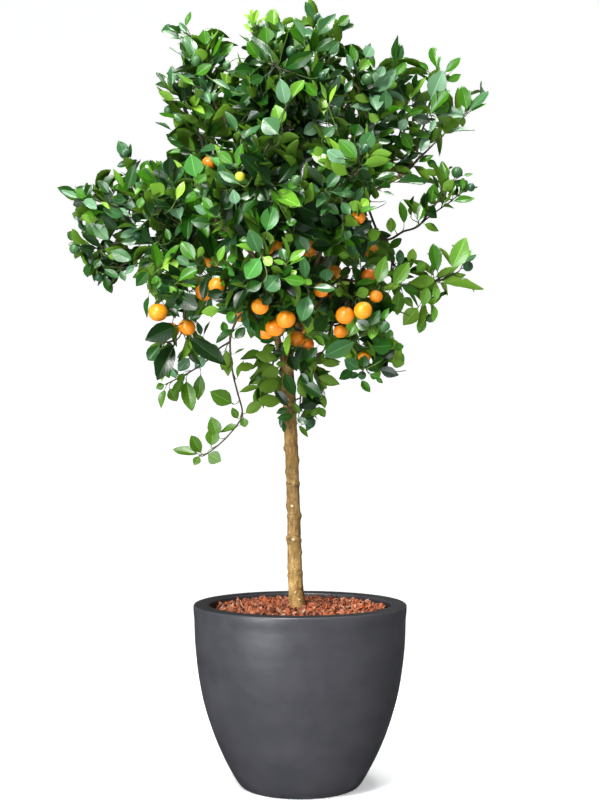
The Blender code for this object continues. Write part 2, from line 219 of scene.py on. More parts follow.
def noise_tex(tree, vec, scale, detail=4.0, rough=0.55):
    n = tree.nodes.new("ShaderNodeTexNoise")
    n.inputs["Scale"].default_value = scale
    n.inputs["Detail"].default_value = detail
    n.inputs["Roughness"].default_value = rough
    tree.links.new(vec, n.inputs["Vector"])
    return n.outputs["Fac"]


def ramp(tree, fac, stops):
    n = tree.nodes.new("ShaderNodeValToRGB")
    els = n.color_ramp.elements
    while len(els) < len(stops):
        els.new(0.5)
    for e, (p, c) in zip(els, stops):
        e.position = p
        e.color = (*c, 1.0) if len(c) == 3 else c
    tree.links.new(fac, n.inputs["Fac"])
    return n.outputs["Color"]


def map_range(tree, v, a, b, c, d):
    n = tree.nodes.new("ShaderNodeMapRange")
    for i, x in enumerate((a, b, c, d)):
        n.inputs[i + 1].default_value = x
    tree.links.new(v, n.inputs[0])
    return n.outputs[0]


def srgb(r, g, b):
    """Linear colour of an 8-bit display colour."""
    return tuple(((c / 255) / 12.92 if c <= 10 else (((c / 255) + 0.055) / 1.055) ** 2.4) for c in (r, g, b))


def leaf_material(name, color, rough, veins, spec=0.5, coat=0.0):
    """A leaf's face: its plain colour, with side veins and a fine grain pressed in."""
    m, t, b = material(name, color, rough, spec, coat, 0.18)
    uv = t.nodes.new("ShaderNodeUVMap")
    uv.uv_map = "UVMap"
    sep = t.nodes.new("ShaderNodeSeparateXYZ")
    t.links.new(uv.outputs[0], sep.inputs[0])
    side = math_node(t, "ABSOLUTE", math_node(t, "SUBTRACT", sep.outputs[0], 0.5))
    along = math_node(t, "SUBTRACT", math_node(t, "MULTIPLY", sep.outputs[1], 10.0),
                      math_node(t, "MULTIPLY", side, 5.0))
    wave = math_node(t, "ABSOLUTE", math_node(t, "SINE", math_node(t, "MULTIPLY", along, math.pi)))
    groove = math_node(t, "POWER", wave, 0.35)
    grain = noise_tex(t, coords(t), 900.0, 2.0)
    h = math_node(t, "ADD", math_node(t, "MULTIPLY", groove, 1.0), math_node(t, "MULTIPLY", grain, 0.35))
    add_bump(t, b, h, veins, 0.00035)
    return m


# ------------------------------------------------------------------ planter
def wall_r(z):
    t = min(max(z / POT_HEIGHT, 0.0), 1.0)
    r = POT_FOOT_R + (POT_RIM_R - POT_FLARE - POT_FOOT_R) * (1.0 - (1.0 - t) ** POT_BELLY)
    f = min(max((z - POT_HEIGHT + 0.030) / 0.020, 0.0), 1.0)
    return r + POT_FLARE * f * f * (3 - 2 * f)


def planter_material():
    m, t, b = material("planter_anthracite", (0.034, 0.034, 0.041), 0.40, 0.60)
    vec = coords(t)
    broad = noise_tex(t, coords(t, (1, 1, 2.2)), 9.0, 3.0, 0.5)
    fine = noise_tex(t, vec, 160.0, 4.0, 0.6)
    dust = noise_tex(t, vec, 38.0, 5.0, 0.65)
    mixed = math_node(t, "ADD", math_node(t, "MULTIPLY", broad, 0.65), math_node(t, "MULTIPLY", dust, 0.35))
    col = ramp(t, mixed, [(0.30, (0.028, 0.028, 0.034)), (0.50, (0.036, 0.036, 0.043)),
                          (0.70, (0.045, 0.045, 0.053))])
    t.links.new(col, b.inputs["Base Color"])
    t.links.new(map_range(t, dust, 0.3, 0.7, 0.36, 0.47), b.inputs["Roughness"])
    first = add_bump(t, b, broad, 0.25, 0.004)
    add_bump(t, b, fine, 0.16, 0.0006, first)
    return m


def lip_painted_shade_material():
    # a darker, duller copy of the planter's finish for the lip's flat top: painted shade on a face that looks up
    m, t, b = material("planter_lip_painted_shade", (0.022, 0.022, 0.024), 0.62, 0.22)
    vec = coords(t)
    dust = noise_tex(t, vec, 46.0, 5.0, 0.65)
    col = ramp(t, dust, [(0.30, (0.014, 0.014, 0.015)), (0.70, (0.028, 0.028, 0.029))])
    t.links.new(col, b.inputs["Base Color"])
    add_bump(t, b, noise_tex(t, vec, 160.0, 4.0, 0.6), 0.16, 0.0006)
    return m


def rounded(cx, cz, r, a0, a1, n):
    return [(cx + r * math.cos(math.radians(a0 + (a1 - a0) * i / n)),
             cz + r * math.sin(math.radians(a0 + (a1 - a0) * i / n))) for i in range(n + 1)]


def build_planter():
    h = POT_HEIGHT
    prof = [(0.0005, POT_WALL), (wall_r(POT_WALL) - POT_WALL - 0.006, POT_WALL)]
    for i in range(1, 10):
        z = POT_WALL + (h - LIP_DEPTH - POT_WALL) * i / 9
        prof.append((wall_r(z) - POT_WALL, z))
    prof.append((LIP_INNER_R + 0.002, h - LIP_DEPTH))
    prof += rounded(LIP_INNER_R + 0.003, h - LIP_DEPTH + 0.003, 0.003, 240, 180, 3)
    prof += rounded(LIP_INNER_R + LIP_ROUND, h - LIP_ROUND, LIP_ROUND, 180, 90, 6)
    for i in range(1, 6):
        prof.append((LIP_INNER_R + LIP_ROUND + (POT_RIM_R - LIP_INNER_R - 2 * LIP_ROUND) * i / 6, h))
    prof += rounded(POT_RIM_R - LIP_ROUND, h - LIP_ROUND, LIP_ROUND, 90, 0, 6)
    n = 64
    for i in range(n + 1):
        z = (h - 0.010) * (1 - i / n) + 0.012 * (i / n)
        prof.append((wall_r(z), z))
    prof += [(wall_r(0.008) - 0.0002, 0.0085), (POT_FOOT_R + 0.0022, 0.0052), (POT_FOOT_R - 0.0006, 0.0024),
             (POT_FOOT_R - 0.0040, 0.0007), (POT_FLAT_R, 0.0), (0.0005, 0.0)]

    def hand(x, y, z):
        """The wall isn't quite true: low broad swells left by hand finishing."""
        d = np.zeros_like(z)
        flat = [noise.noise(Vector((a * 9.0, b * 9.0, c * 15.0))) for a, b, c in
                zip(x.ravel(), y.ravel(), z.ravel())]
        d = np.array(flat).reshape(z.shape) * 0.00045
        rr = np.hypot(x, y)
        return d * (rr > POT_FLAT_R + 0.004)
    obj = spin("planter_wall", prof, 160, [planter_material(), lip_painted_shade_material()], hand)
    # the flat of the lip, between its rounded edges, takes the darker, duller copy of the finish: painted shade on the
    # lip's top face
    for face in obj.data.polygons:
        c = face.center
        if c.z > h - 0.0012 and LIP_INNER_R + 0.001 < math.hypot(c.x, c.y) < POT_RIM_R - 0.0016:
            face.material_index = 1
    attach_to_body(obj, "root")
    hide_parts("planter")
    return obj


# ------------------------------------------------------------------ root ball and mulch
def build_fill():
    m, t, b = material("moist_soil", (0.022, 0.013, 0.008), 0.95, 0.25)
    vec = coords(t)
    n1 = noise_tex(t, vec, 120.0, 6.0, 0.7)
    t.links.new(ramp(t, n1, [(0.35, (0.010, 0.006, 0.004)), (0.7, (0.050, 0.030, 0.019))]), b.inputs["Base Color"])
    add_bump(t, b, n1, 0.9, 0.004)
    soil = NODES["root_ball"]
    soil.data.materials.clear()
    soil.data.materials.append(m)

    tones = [((164, 100, 70), 6), ((140, 78, 54), 6), ((184, 118, 86), 5), ((206, 148, 112), 2),
             ((112, 60, 43), 4), ((180, 90, 54), 4), ((170, 146, 128), 1), ((74, 42, 34), 3)]
    mats = []
    for i, (c, _) in enumerate(tones):
        mm, tt, bb = material(f"bark_chip_{i}", srgb(*c), 0.85, 0.25)
        vec = coords(tt, (1, 1, 1))
        g = noise_tex(tt, vec, 420.0, 4.0, 0.65)
        add_bump(tt, bb, g, 0.8, 0.0012)
        mats.append(mm)
    weights = np.array([w for _, w in tones], float)
    weights /= weights.sum()
    r = np.random.default_rng(5)

    # one chip: a split flake, thicker in the middle, with ragged ends
    def chip(rr):
        L = rr.uniform(0.009, 0.018)
        W = L * rr.uniform(0.22, 0.50)
        T = rr.uniform(0.0016, 0.0036)
        xs = np.array([-0.5, -0.18, 0.2, 0.5]) * L
        half = np.array([0.55, 1.0, 0.95, 0.5]) * W / 2 * rr.uniform(0.7, 1.2, 4)
        skew = rr.uniform(-0.25, 0.25, 4) * W
        thick = np.array([0.35, 1.0, 0.9, 0.4]) * T / 2 * rr.uniform(0.7, 1.25, 4)
        bend = rr.uniform(-0.3, 0.3) * L * 0.3
        v = []
        for k in range(4):
            zc = bend * (1 - (xs[k] / (L / 2)) ** 2)
            v += [(xs[k], -half[k] + skew[k], zc - thick[k]), (xs[k], half[k] + skew[k], zc - thick[k]),
                  (xs[k], half[k] + skew[k] + rr.uniform(-.1, .1) * W, zc + thick[k]),
                  (xs[k], -half[k] + skew[k] + rr.uniform(-.1, .1) * W, zc + thick[k])]
        return np.array(v)
    q = []
    for k in range(3):
        a, c = 4 * k, 4 * (k + 1)
        for j in range(4):
            q.append((a + j, a + (j + 1) % 4, c + (j + 1) % 4, c + j))
    q += [(3, 2, 1, 0), (12, 13, 14, 15)]
    q = np.array(q)[:, ::-1]
    verts, quads, idx = [], [], []
    count = 0
    total = 3600
    for k in range(total):
        lay = k / total
        rad = math.sqrt(r.uniform(0, 1)) * (MULCH_R - 0.003)
        ang = r.uniform(0, 2 * math.pi)
        x, y = rad * math.cos(ang), rad * math.sin(ang)
        dx, dy = x - TRUNK_FOOT_X, y
        if math.hypot(dx, dy) < 0.017:
            continue
        hump = 0.0030 * noise.noise(Vector((x * 22, y * 22, 0.3))) + 0.0015
        edge = max(0.0, (rad - MULCH_R + 0.022) / 0.022)
        z = MULCH_TOP - 0.011 + 0.0125 * lay + hump - 0.003 * edge ** 2
        z += 0.003 * math.exp(-((math.hypot(dx, dy) - 0.018) / 0.020) ** 2)
        v = chip(r)
        up = r.uniform(0, 1) < 0.58
        rot = Matrix.Rotation(r.uniform(0, 6.283), 3, "Z") @ Matrix.Rotation(
            r.uniform(0.5, 1.4) if up else r.normal(0, 0.3), 3, "Y") @ Matrix.Rotation(r.uniform(-1.2, 1.2), 3, "X")
        v = v @ np.array(rot).T + (x, y, z)
        rr = np.hypot(v[:, 0], v[:, 1])
        over = rr > MULCH_R + 0.002
        if over.any():
            s = (MULCH_R - 0.001) / rr.max()
            v[:, :2] *= s
        v[:, 2] = np.minimum(v[:, 2], MULCH_TOP + 0.0105)
        verts.append(v)
        quads.append(q + count)
        idx.append(np.full(len(q), r.choice(len(mats), p=weights)))
        count += len(v)
    obj = mesh_object("mulch_chips", np.concatenate(verts), [np.concatenate(quads)], mats,
                      np.concatenate(idx), smooth=False)
    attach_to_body(obj, "root")
    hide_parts("bark_mulch")

    # the fine crumb that the chips lie in, down into the gap at the wall
    mc, tc, bc = material("mulch_crumb", srgb(60, 34, 24), 0.95, 0.2)
    vec = coords(tc)
    n1 = noise_tex(tc, vec, 260.0, 5.0, 0.7)
    tc.links.new(ramp(tc, n1, [(0.35, srgb(28, 16, 12)), (0.55, srgb(78, 44, 30)), (0.75, srgb(130, 78, 54))]),
                 bc.inputs["Base Color"])
    add_bump(tc, bc, n1, 1.0, 0.003)
    prof = [(0.0004, MULCH_TOP - 0.006), (0.05, MULCH_TOP - 0.006), (0.10, MULCH_TOP - 0.007),
            (0.140, MULCH_TOP - 0.008), (0.153, MULCH_TOP - 0.011), (0.158, MULCH_TOP - 0.018),
            (0.1595, MULCH_TOP - 0.034)]
    fine = []
    for (r0, z0), (r1, z1) in zip(prof[:-1], prof[1:]):
        for i in range(6):
            fine.append((r0 + (r1 - r0) * i / 6, z0 + (z1 - z0) * i / 6))
    fine += [prof[-1], (0.0004, prof[-1][1])]
    crumb = spin("mulch_bed", fine, 120, [mc],
                 lambda x, y, z: np.array([0.0012 * noise.noise(Vector((a * 160, b * 160, c * 160)))
                                           for a, b, c in zip(x.ravel(), y.ravel(), z.ravel())]).reshape(z.shape)
                 * (np.hypot(x, y) > 0.01) * (z > MULCH_TOP - 0.0335))
    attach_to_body(crumb, "root")


# ------------------------------------------------------------------ stem
def trunk_axis(z):
    t = (z - MULCH_TOP) / (FORK.z - MULCH_TOP)
    x = TRUNK_FOOT_X + TRUNK_LEAN * t
    x -= 0.0025 * math.sin(math.pi * min(max(t, 0.0) / 0.38, 1.0))
    x += (FORK.x - TRUNK_FOOT_X - TRUNK_LEAN) * max(0.0, (t - 0.8) / 0.2) ** 2
    y = 0.0022 * math.sin(t * 6.3 + 1.0) * math.sin(math.pi * max(t, 0.0))
    return Vector((x, y, z))


def trunk_r(z):
    t = (z - MULCH_TOP) / (FORK.z - MULCH_TOP)
    r = TRUNK_BASE_R + (TRUNK_TOP_R - TRUNK_BASE_R) * min(1.0, max(t, 0.0) * 1.25) ** 0.8
    r += TRUNK_FLARE_R * max(0.0, 1.0 - (z - MULCH_TOP) / 0.040) ** 2
    k = max(0.0, (t - 0.955) / 0.045)
    return r + (LEADER_R + 0.0012 - r) * k * k


LEADER_KNOTS = [Vector((-0.0410, 0.0, 0.831)), Vector((-0.0500, 0.0, 0.878)), Vector((-0.0460, 0.0, 0.990))]
RIGHT_KNOTS = [Vector((0.0000, 0.0, 0.870)), Vector((0.0300, 0.0, 0.980))]

# what stands out on the stem: height, bearing (0 is the viewer's right, 270 the
# front), how far it stands out, its half height and its half width in degrees
BUMPS = [(0.633, 190, 0.0022, 0.006, 30), (0.588, 185, 0.0020, 0.006, 34), (0.524, 192, 0.0024, 0.007, 34),
         (0.460, 200, 0.0022, 0.008, 40), (0.609, 355, 0.0020, 0.006, 30), (0.505, 345, 0.0026, 0.006, 34),
         (0.436, 5, 0.0018, 0.006, 34), (0.565, 300, 0.0016, 0.006, 40), (0.680, 210, 0.0018, 0.007, 36),
         (0.700, 330, 0.0016, 0.006, 30), (0.740, 200, 0.0018, 0.007, 36), (0.655, 60, 0.0022, 0.007, 36),
         (0.545, 95, 0.0022, 0.008, 36), (0.480, 70, 0.0020, 0.006, 34), (0.410, 120, 0.0020, 0.007, 34),
         (0.720, 100, 0.0020, 0.007, 34), (0.372, 300, 0.0014, 0.005, 30)]
RINGS = [(0.566, 0.0011), (0.461, 0.0014), (0.395, 0.0012), (0.505, 0.0008), (0.633, 0.0007), (0.700, 0.0008),
         (0.745, 0.0007)]
# dark marks in the bark: height, where round the stem, half height, half width, how dark
MARKS = [(0.598, 255, 0.0065, 14, 0.85), (0.5655, 246, 0.0019, 22, 0.9), (0.5620, 288, 0.0019, 16, 0.75),
         (0.5605, 262, 0.0014, 20, 0.6), (0.4620, 234, 0.0050, 19, 0.7), (0.3975, 266, 0.0014, 46, 0.6),
         (0.3945, 282, 0.0012, 30, 0.6), (0.5040, 332, 0.0018, 16, 0.9), (0.6400, 262, 0.0030, 12, 0.5),
         (0.5350, 282, 0.0026, 10, 0.45), (0.4900, 250, 0.0030, 12, 0.4), (0.6150, 90, 0.0060, 16, 0.8),
         (0.5300, 120, 0.0022, 30, 0.8), (0.4450, 60, 0.0045, 20, 0.7), (0.6700, 20, 0.0040, 16, 0.7),
         (0.4150, 175, 0.0024, 26, 0.7), (0.5800, 10, 0.0026, 18, 0.6)]
KNOBS = [(0.5245, 258, 0.0022), (0.461, 266, 0.0026), (0.362, 262, 0.0022), (0.348, 290, 0.0024),
         (0.724, 262, 0.0022), (0.610, 90, 0.0024), (0.430, 30, 0.0022)]


def stem_point(s, path, lens):
    i = min(int(np.searchsorted(lens, s)) - 1, len(path) - 2)
    i = max(i, 0)
    u = (s - lens[i]) / max(lens[i + 1] - lens[i], 1e-9)
    return path[i].lerp(path[i + 1], u), (path[i + 1] - path[i]).normalized()


def bark_material():
    m, t, b = material("stem_bark", srgb(160, 128, 84), 0.78, 0.3)
    vec = coords(t, (1, 1, 0.35))
    streak = noise_tex(t, vec, 150.0, 6.0, 0.62)
    patch = noise_tex(t, coords(t, (1, 1, 0.6)), 34.0, 4.0, 0.6)
    speck = noise_tex(t, coords(t), 520.0, 3.0, 0.6)
    mixed = math_node(t, "ADD", math_node(t, "MULTIPLY", streak, 0.5), math_node(t, "MULTIPLY", patch, 0.5))
    base = ramp(t, mixed, [(0.32, srgb(92, 68, 32)), (0.44, srgb(130, 100, 52)), (0.54, srgb(158, 127, 74)),
                           (0.66, srgb(190, 160, 104))])
    # painted light and shade by height: paler towards the foot, darker up the stem, greener and darkest towards the
    # fork
    sep = t.nodes.new("ShaderNodeSeparateXYZ")
    t.links.new(coords(t), sep.inputs[0])
    high = map_range(t, sep.outputs[2], 0.36, 1.02, 0.0, 1.0)
    painted_light_shade_by_height = t.nodes.new("ShaderNodeMix")
    painted_light_shade_by_height.data_type = "RGBA"
    painted_light_shade_by_height.blend_type = "MULTIPLY"
    painted_light_shade_by_height.inputs[0].default_value = 1.0
    t.links.new(base, painted_light_shade_by_height.inputs[6])
    t.links.new(ramp(t, high, [(0.0, (1.26, 1.25, 1.30)), (0.06, (1.12, 1.12, 1.18)), (0.13, (0.88, 0.89, 0.92)),
                            (0.23, (0.70, 0.70, 0.70)), (0.36, (0.66, 0.66, 0.65)), (0.45, (0.80, 0.78, 0.72)),
                            (0.64, (0.72, 0.72, 0.62)), (1.0, (0.38, 0.40, 0.36))]),
                painted_light_shade_by_height.inputs[7])
    # dark specks and lichen dots
    dots = ramp(t, speck, [(0.42, (1.12, 1.12, 1.12)), (0.53, (1, 1, 1)), (0.64, (0.36, 0.31, 0.24))])
    mix2 = t.nodes.new("ShaderNodeMix")
    mix2.data_type = "RGBA"
    mix2.blend_type = "MULTIPLY"
    mix2.inputs[0].default_value = 0.9
    t.links.new(painted_light_shade_by_height.outputs[2], mix2.inputs[6])
    t.links.new(dots, mix2.inputs[7])
    # marks modelled on the stem: dark scars, painted shade under the bumps and in the grooves of the rings, pale pruned
    # wood
    dark = t.nodes.new("ShaderNodeAttribute")
    dark.attribute_name = "scar_and_painted_shade"
    pale = t.nodes.new("ShaderNodeAttribute")
    pale.attribute_name = "cutwood"
    mix3 = t.nodes.new("ShaderNodeMix")
    mix3.data_type = "RGBA"
    t.links.new(dark.outputs["Fac"], mix3.inputs[0])
    t.links.new(mix2.outputs[2], mix3.inputs[6])
    mix3.inputs[7].default_value = (*srgb(58, 46, 26), 1.0)
    mix4 = t.nodes.new("ShaderNodeMix")
    mix4.data_type = "RGBA"
    t.links.new(pale.outputs["Fac"], mix4.inputs[0])
    t.links.new(mix3.outputs[2], mix4.inputs[6])
    mix4.inputs[7].default_value = (*srgb(214, 190, 150), 1.0)
    t.links.new(mix4.outputs[2], b.inputs["Base Color"])
    first = add_bump(t, b, streak, 0.7, 0.0016)
    add_bump(t, b, speck, 0.35, 0.0006, first)
    return m


def build_stem(bark):
    """The stem and the foot of the leader, one skin with the bark's relief."""
    lower = [trunk_axis(MULCH_TOP - 0.018 + (FORK.z - MULCH_TOP + 0.010) * i / 60) for i in range(61)]
    path = curve_through(lower[::6] + LEADER_KNOTS[:2], 0.006)
    lens = np.concatenate([[0], np.cumsum([(b - a).length for a, b in zip(path[:-1], path[1:])])])
    total = lens[-1]
    rings = int(total / 0.00125)
    around = 72
    ang = np.arange(around) * 2 * math.pi / around
    verts = np.zeros((rings, around, 3))
    scar_and_painted_shade = np.zeros((rings, around))
    cut = np.zeros((rings, around))
    deg = np.degrees(ang)
    for k in range(rings):
        s = total * k / (rings - 1)
        c, d = stem_point(s, path, lens)
        z = c.z
        r0 = trunk_r(z) if z < FORK.z else LEADER_R + 0.0012 - 0.0012 * min(1.0, (z - FORK.z) / 0.05)
        if z > FORK.z:
            r0 = max(0.0056, r0)
        side = Vector((1, 0, 0))
        u = (side - d * side.dot(d)).normalized()
        v = d.cross(u)
        r = np.full(around, r0)
        # the section isn't round, and turns slowly up the stem
        r *= 1 + 0.045 * np.cos(2 * (ang + z * 9)) + 0.03 * np.cos(3 * (ang - z * 14))
        for bz, ba, amp, hh, ww in BUMPS:
            if abs(z - bz) < 3 * hh:
                da = (deg - ba + 180) % 360 - 180
                g = math.exp(-((z - bz) / hh) ** 2) * np.exp(-(da / ww) ** 2)
                r += amp * g
                # painted shade: a dark band just under each bump
                low = math.exp(-((z - bz + hh * 0.8) / (hh * 0.35)) ** 2)
                scar_and_painted_shade[k] = np.maximum(scar_and_painted_shade[k], 0.75 * low * np.exp(-(da / (ww * 0.9)) ** 2))
        for rz, amp in RINGS:
            if abs(z - rz) < 0.02:
                tilt = rz + 0.003 * np.sin(ang + rz * 50)
                r += amp * np.exp(-((z - tilt) / 0.0042) ** 2) - 0.5 * amp * np.exp(-((z - tilt - 0.006) / 0.0016) ** 2)
                # painted shade: a dark line in the groove of each ring
                scar_and_painted_shade[k] = np.maximum(scar_and_painted_shade[k], 0.7 * np.exp(-((z - tilt - 0.0060) / 0.0011) ** 2)
                                     * (0.55 + 0.45 * np.sin(3 * ang + rz * 90)))
        for mz, ma, mh, mw, how in MARKS:
            if abs(z - mz) < 3 * mh:
                da = (deg - ma + 180) % 360 - 180
                scar_and_painted_shade[k] = np.maximum(scar_and_painted_shade[k], how * math.exp(-((z - mz) / mh) ** 2) * np.exp(-(da / mw) ** 2))
        for kz, ka, kr in KNOBS:
            if abs(z - kz) < 0.012:
                da = (deg - ka + 180) % 360 - 180
                w = kr / r0 * 57.3
                g = np.exp(-((z - kz) / kr) ** 4 - (da / w) ** 4)
                r += 0.0022 * g
                cut[k] = np.maximum(cut[k], 0.9 * g)
                rim = np.exp(-(((z - kz) / kr) ** 2 + (da / w) ** 2 - 1.35) ** 2 * 9)
                scar_and_painted_shade[k] = np.maximum(scar_and_painted_shade[k], 0.8 * rim)
        # the pruned stub and swelling where it forks
        if z > 0.755:
            da = (deg - 200 + 180) % 360 - 180
            r += 0.0030 * math.exp(-((z - 0.778) / 0.010) ** 2) * np.exp(-(da / 55) ** 2)
            da = (deg - 345 + 180) % 360 - 180
            r += 0.0030 * math.exp(-((z - 0.790) / 0.012) ** 2) * np.exp(-(da / 60) ** 2)
        for j in range(around):
            p = Vector((math.cos(ang[j]) * 3.0, math.sin(ang[j]) * 3.0, z * 55))
            f = noise.noise(p) * 0.45 + noise.noise(p * Vector((2.6, 2.6, 1.6)).length * 0.55) * 0.3
            q = Vector((math.cos(ang[j]) * 9.0, math.sin(ang[j]) * 9.0, z * 160))
            f += noise.noise(q) * 0.28
            r[j] += 0.0011 * f
        verts[k] = np.array(c) + r[:, None] * (np.cos(ang)[:, None] * np.array(u) + np.sin(ang)[:, None] * np.array(v))
    verts[-1] = verts[-1] * 0.2 + verts[-1].mean(0) * 0.8
    i, j = np.meshgrid(np.arange(rings - 1), np.arange(around), indexing="ij")
    jj = (j + 1) % around
    quads = np.stack([i * around + j, i * around + jj, (i + 1) * around + jj, (i + 1) * around + j], -1).reshape(-1, 4)
    capv = np.array([verts[0].mean(0), verts[-1].mean(0)])
    allv = np.concatenate([verts.reshape(-1, 3), capv])
    n = rings * around
    a = np.arange(around)
    low = np.stack([np.full(around, n), (a + 1) % around, a], -1)
    top = np.stack([np.full(around, n + 1), (rings - 1) * around + a, (rings - 1) * around + (a + 1) % around], -1)
    obj = mesh_object("stem", allv, [quads, low, top], [bark])
    for name, arr in (("scar_and_painted_shade", scar_and_painted_shade), ("cutwood", cut)):
        at_ = obj.data.attributes.new(name, "FLOAT", "POINT")
        at_.data.foreach_set("value", np.concatenate([np.clip(arr, 0, 1).ravel(), [0, 0]]).astype(np.float32))
    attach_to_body(obj, "root")
    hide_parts("trunk")
    return obj


# ------------------------------------------------------------------ the crown's space
MASS_NAMES = [n for n in NODES if n.startswith(("crown", "arm", "spray", "droop", "tuft"))
              or n in ("hanging_side", "hanging_mid", "hanging_tip")]
MASS_NAMES.sort()


def mesh_arrays(obj):
    me = obj.data
    co = np.zeros(len(me.vertices) * 3, np.float32)
    me.vertices.foreach_get("co", co)
    me.calc_loop_triangles()
    tri = np.zeros(len(me.loop_triangles) * 3, np.int32)
    me.loop_triangles.foreach_get("vertices", tri)
    return co.reshape(-1, 3).astype(float), tri.reshape(-1, 3)


MASS = {}
all_v, all_t, owner = [], [], []
for name in MASS_NAMES:
    co, tri = mesh_arrays(NODES[name])
    MASS[name] = dict(co=co, tri=tri, centre=Vector(co.mean(0)), lo=co.min(0), hi=co.max(0),
                      tree=BVHTree.FromPolygons([Vector(c) for c in co], tri.tolist()))
    owner += [name] * len(tri)
    all_t.append(tri + sum(len(v) for v in all_v))
    all_v.append(co)
ALL = BVHTree.FromPolygons([Vector(c) for c in np.concatenate(all_v)], np.concatenate(all_t).tolist())
CROWN_MID = Vector((-0.03, 0.02, 1.08))


def surface_at(px, py, sink=0.0):
    """The nearest point of the crown seen at a place in the picture."""
    eye = Vector((0.0, -CAM_DIST, CAM_Z))
    d = (at(px, py, 0.0) - eye).normalized()
    hit = ALL.ray_cast(eye, d)
    if hit[0] is None:
        return at(px, py, 0.0)
    return hit[0] + d * sink


# ------------------------------------------------------------------ skeleton
class Skeleton:
    """Points of wood, each joined to the one that it grows from."""

    def __init__(self):
        self.pos, self.parent, self.dir, self.open = [], [], [], []
        self.cache = None

    def add(self, points, parent, open_to=1.0):
        idx = []
        prev = parent
        n = len(points)
        for k, p in enumerate(points):
            d = (points[min(k + 1, n - 1)] - points[max(k - 1, 0)])
            if prev >= 0 and k == 0:
                d = points[0] - Vector(self.pos[prev]) if n == 1 else points[min(1, n - 1)] - Vector(self.pos[prev])
            self.pos.append(tuple(p))
            self.parent.append(prev)
            self.dir.append(tuple(d.normalized() if d.length > 1e-7 else Vector((0, 0, 1))))
            self.open.append(k <= open_to * (n - 1))
            prev = len(self.pos) - 1
            idx.append(prev)
        self.cache = None
        return idx

    def arrays(self):
        if self.cache is None:
            self.cache = (np.array(self.pos), np.array(self.dir), np.array(self.open))
        return self.cache


SK = Skeleton()
LIMB = {}


def wander(points, amp, seed):
    """A limb is never quite straight."""
    out = []
    n = len(points)
    for i, p in enumerate(points):
        w = max(0.0, math.sin(math.pi * i / max(n - 1, 1))) ** 0.5
        q = Vector((i * 0.23, seed * 7.1, 0.0))
        out.append(p + Vector((noise.noise(q), noise.noise(q + Vector((9, 3, 1))), 0.6 * noise.noise(q + Vector((4, 8, 2))))) * amp * w)
    return out


def hermite(p0, t0, p1, t1, step):
    L = (p1 - p0).length
    n = max(2, int(round(L / step)))
    out = []
    for i in range(1, n + 1):
        t = i / n
        h00, h10 = 2 * t ** 3 - 3 * t ** 2 + 1, t ** 3 - 2 * t ** 2 + t
        h01, h11 = -2 * t ** 3 + 3 * t ** 2, t ** 3 - t ** 2
        out.append(p0 * h00 + t0 * (h10 * L) + p1 * h01 + t1 * (h11 * L))
    return out


def centre(name):
    return MASS[name]["centre"]


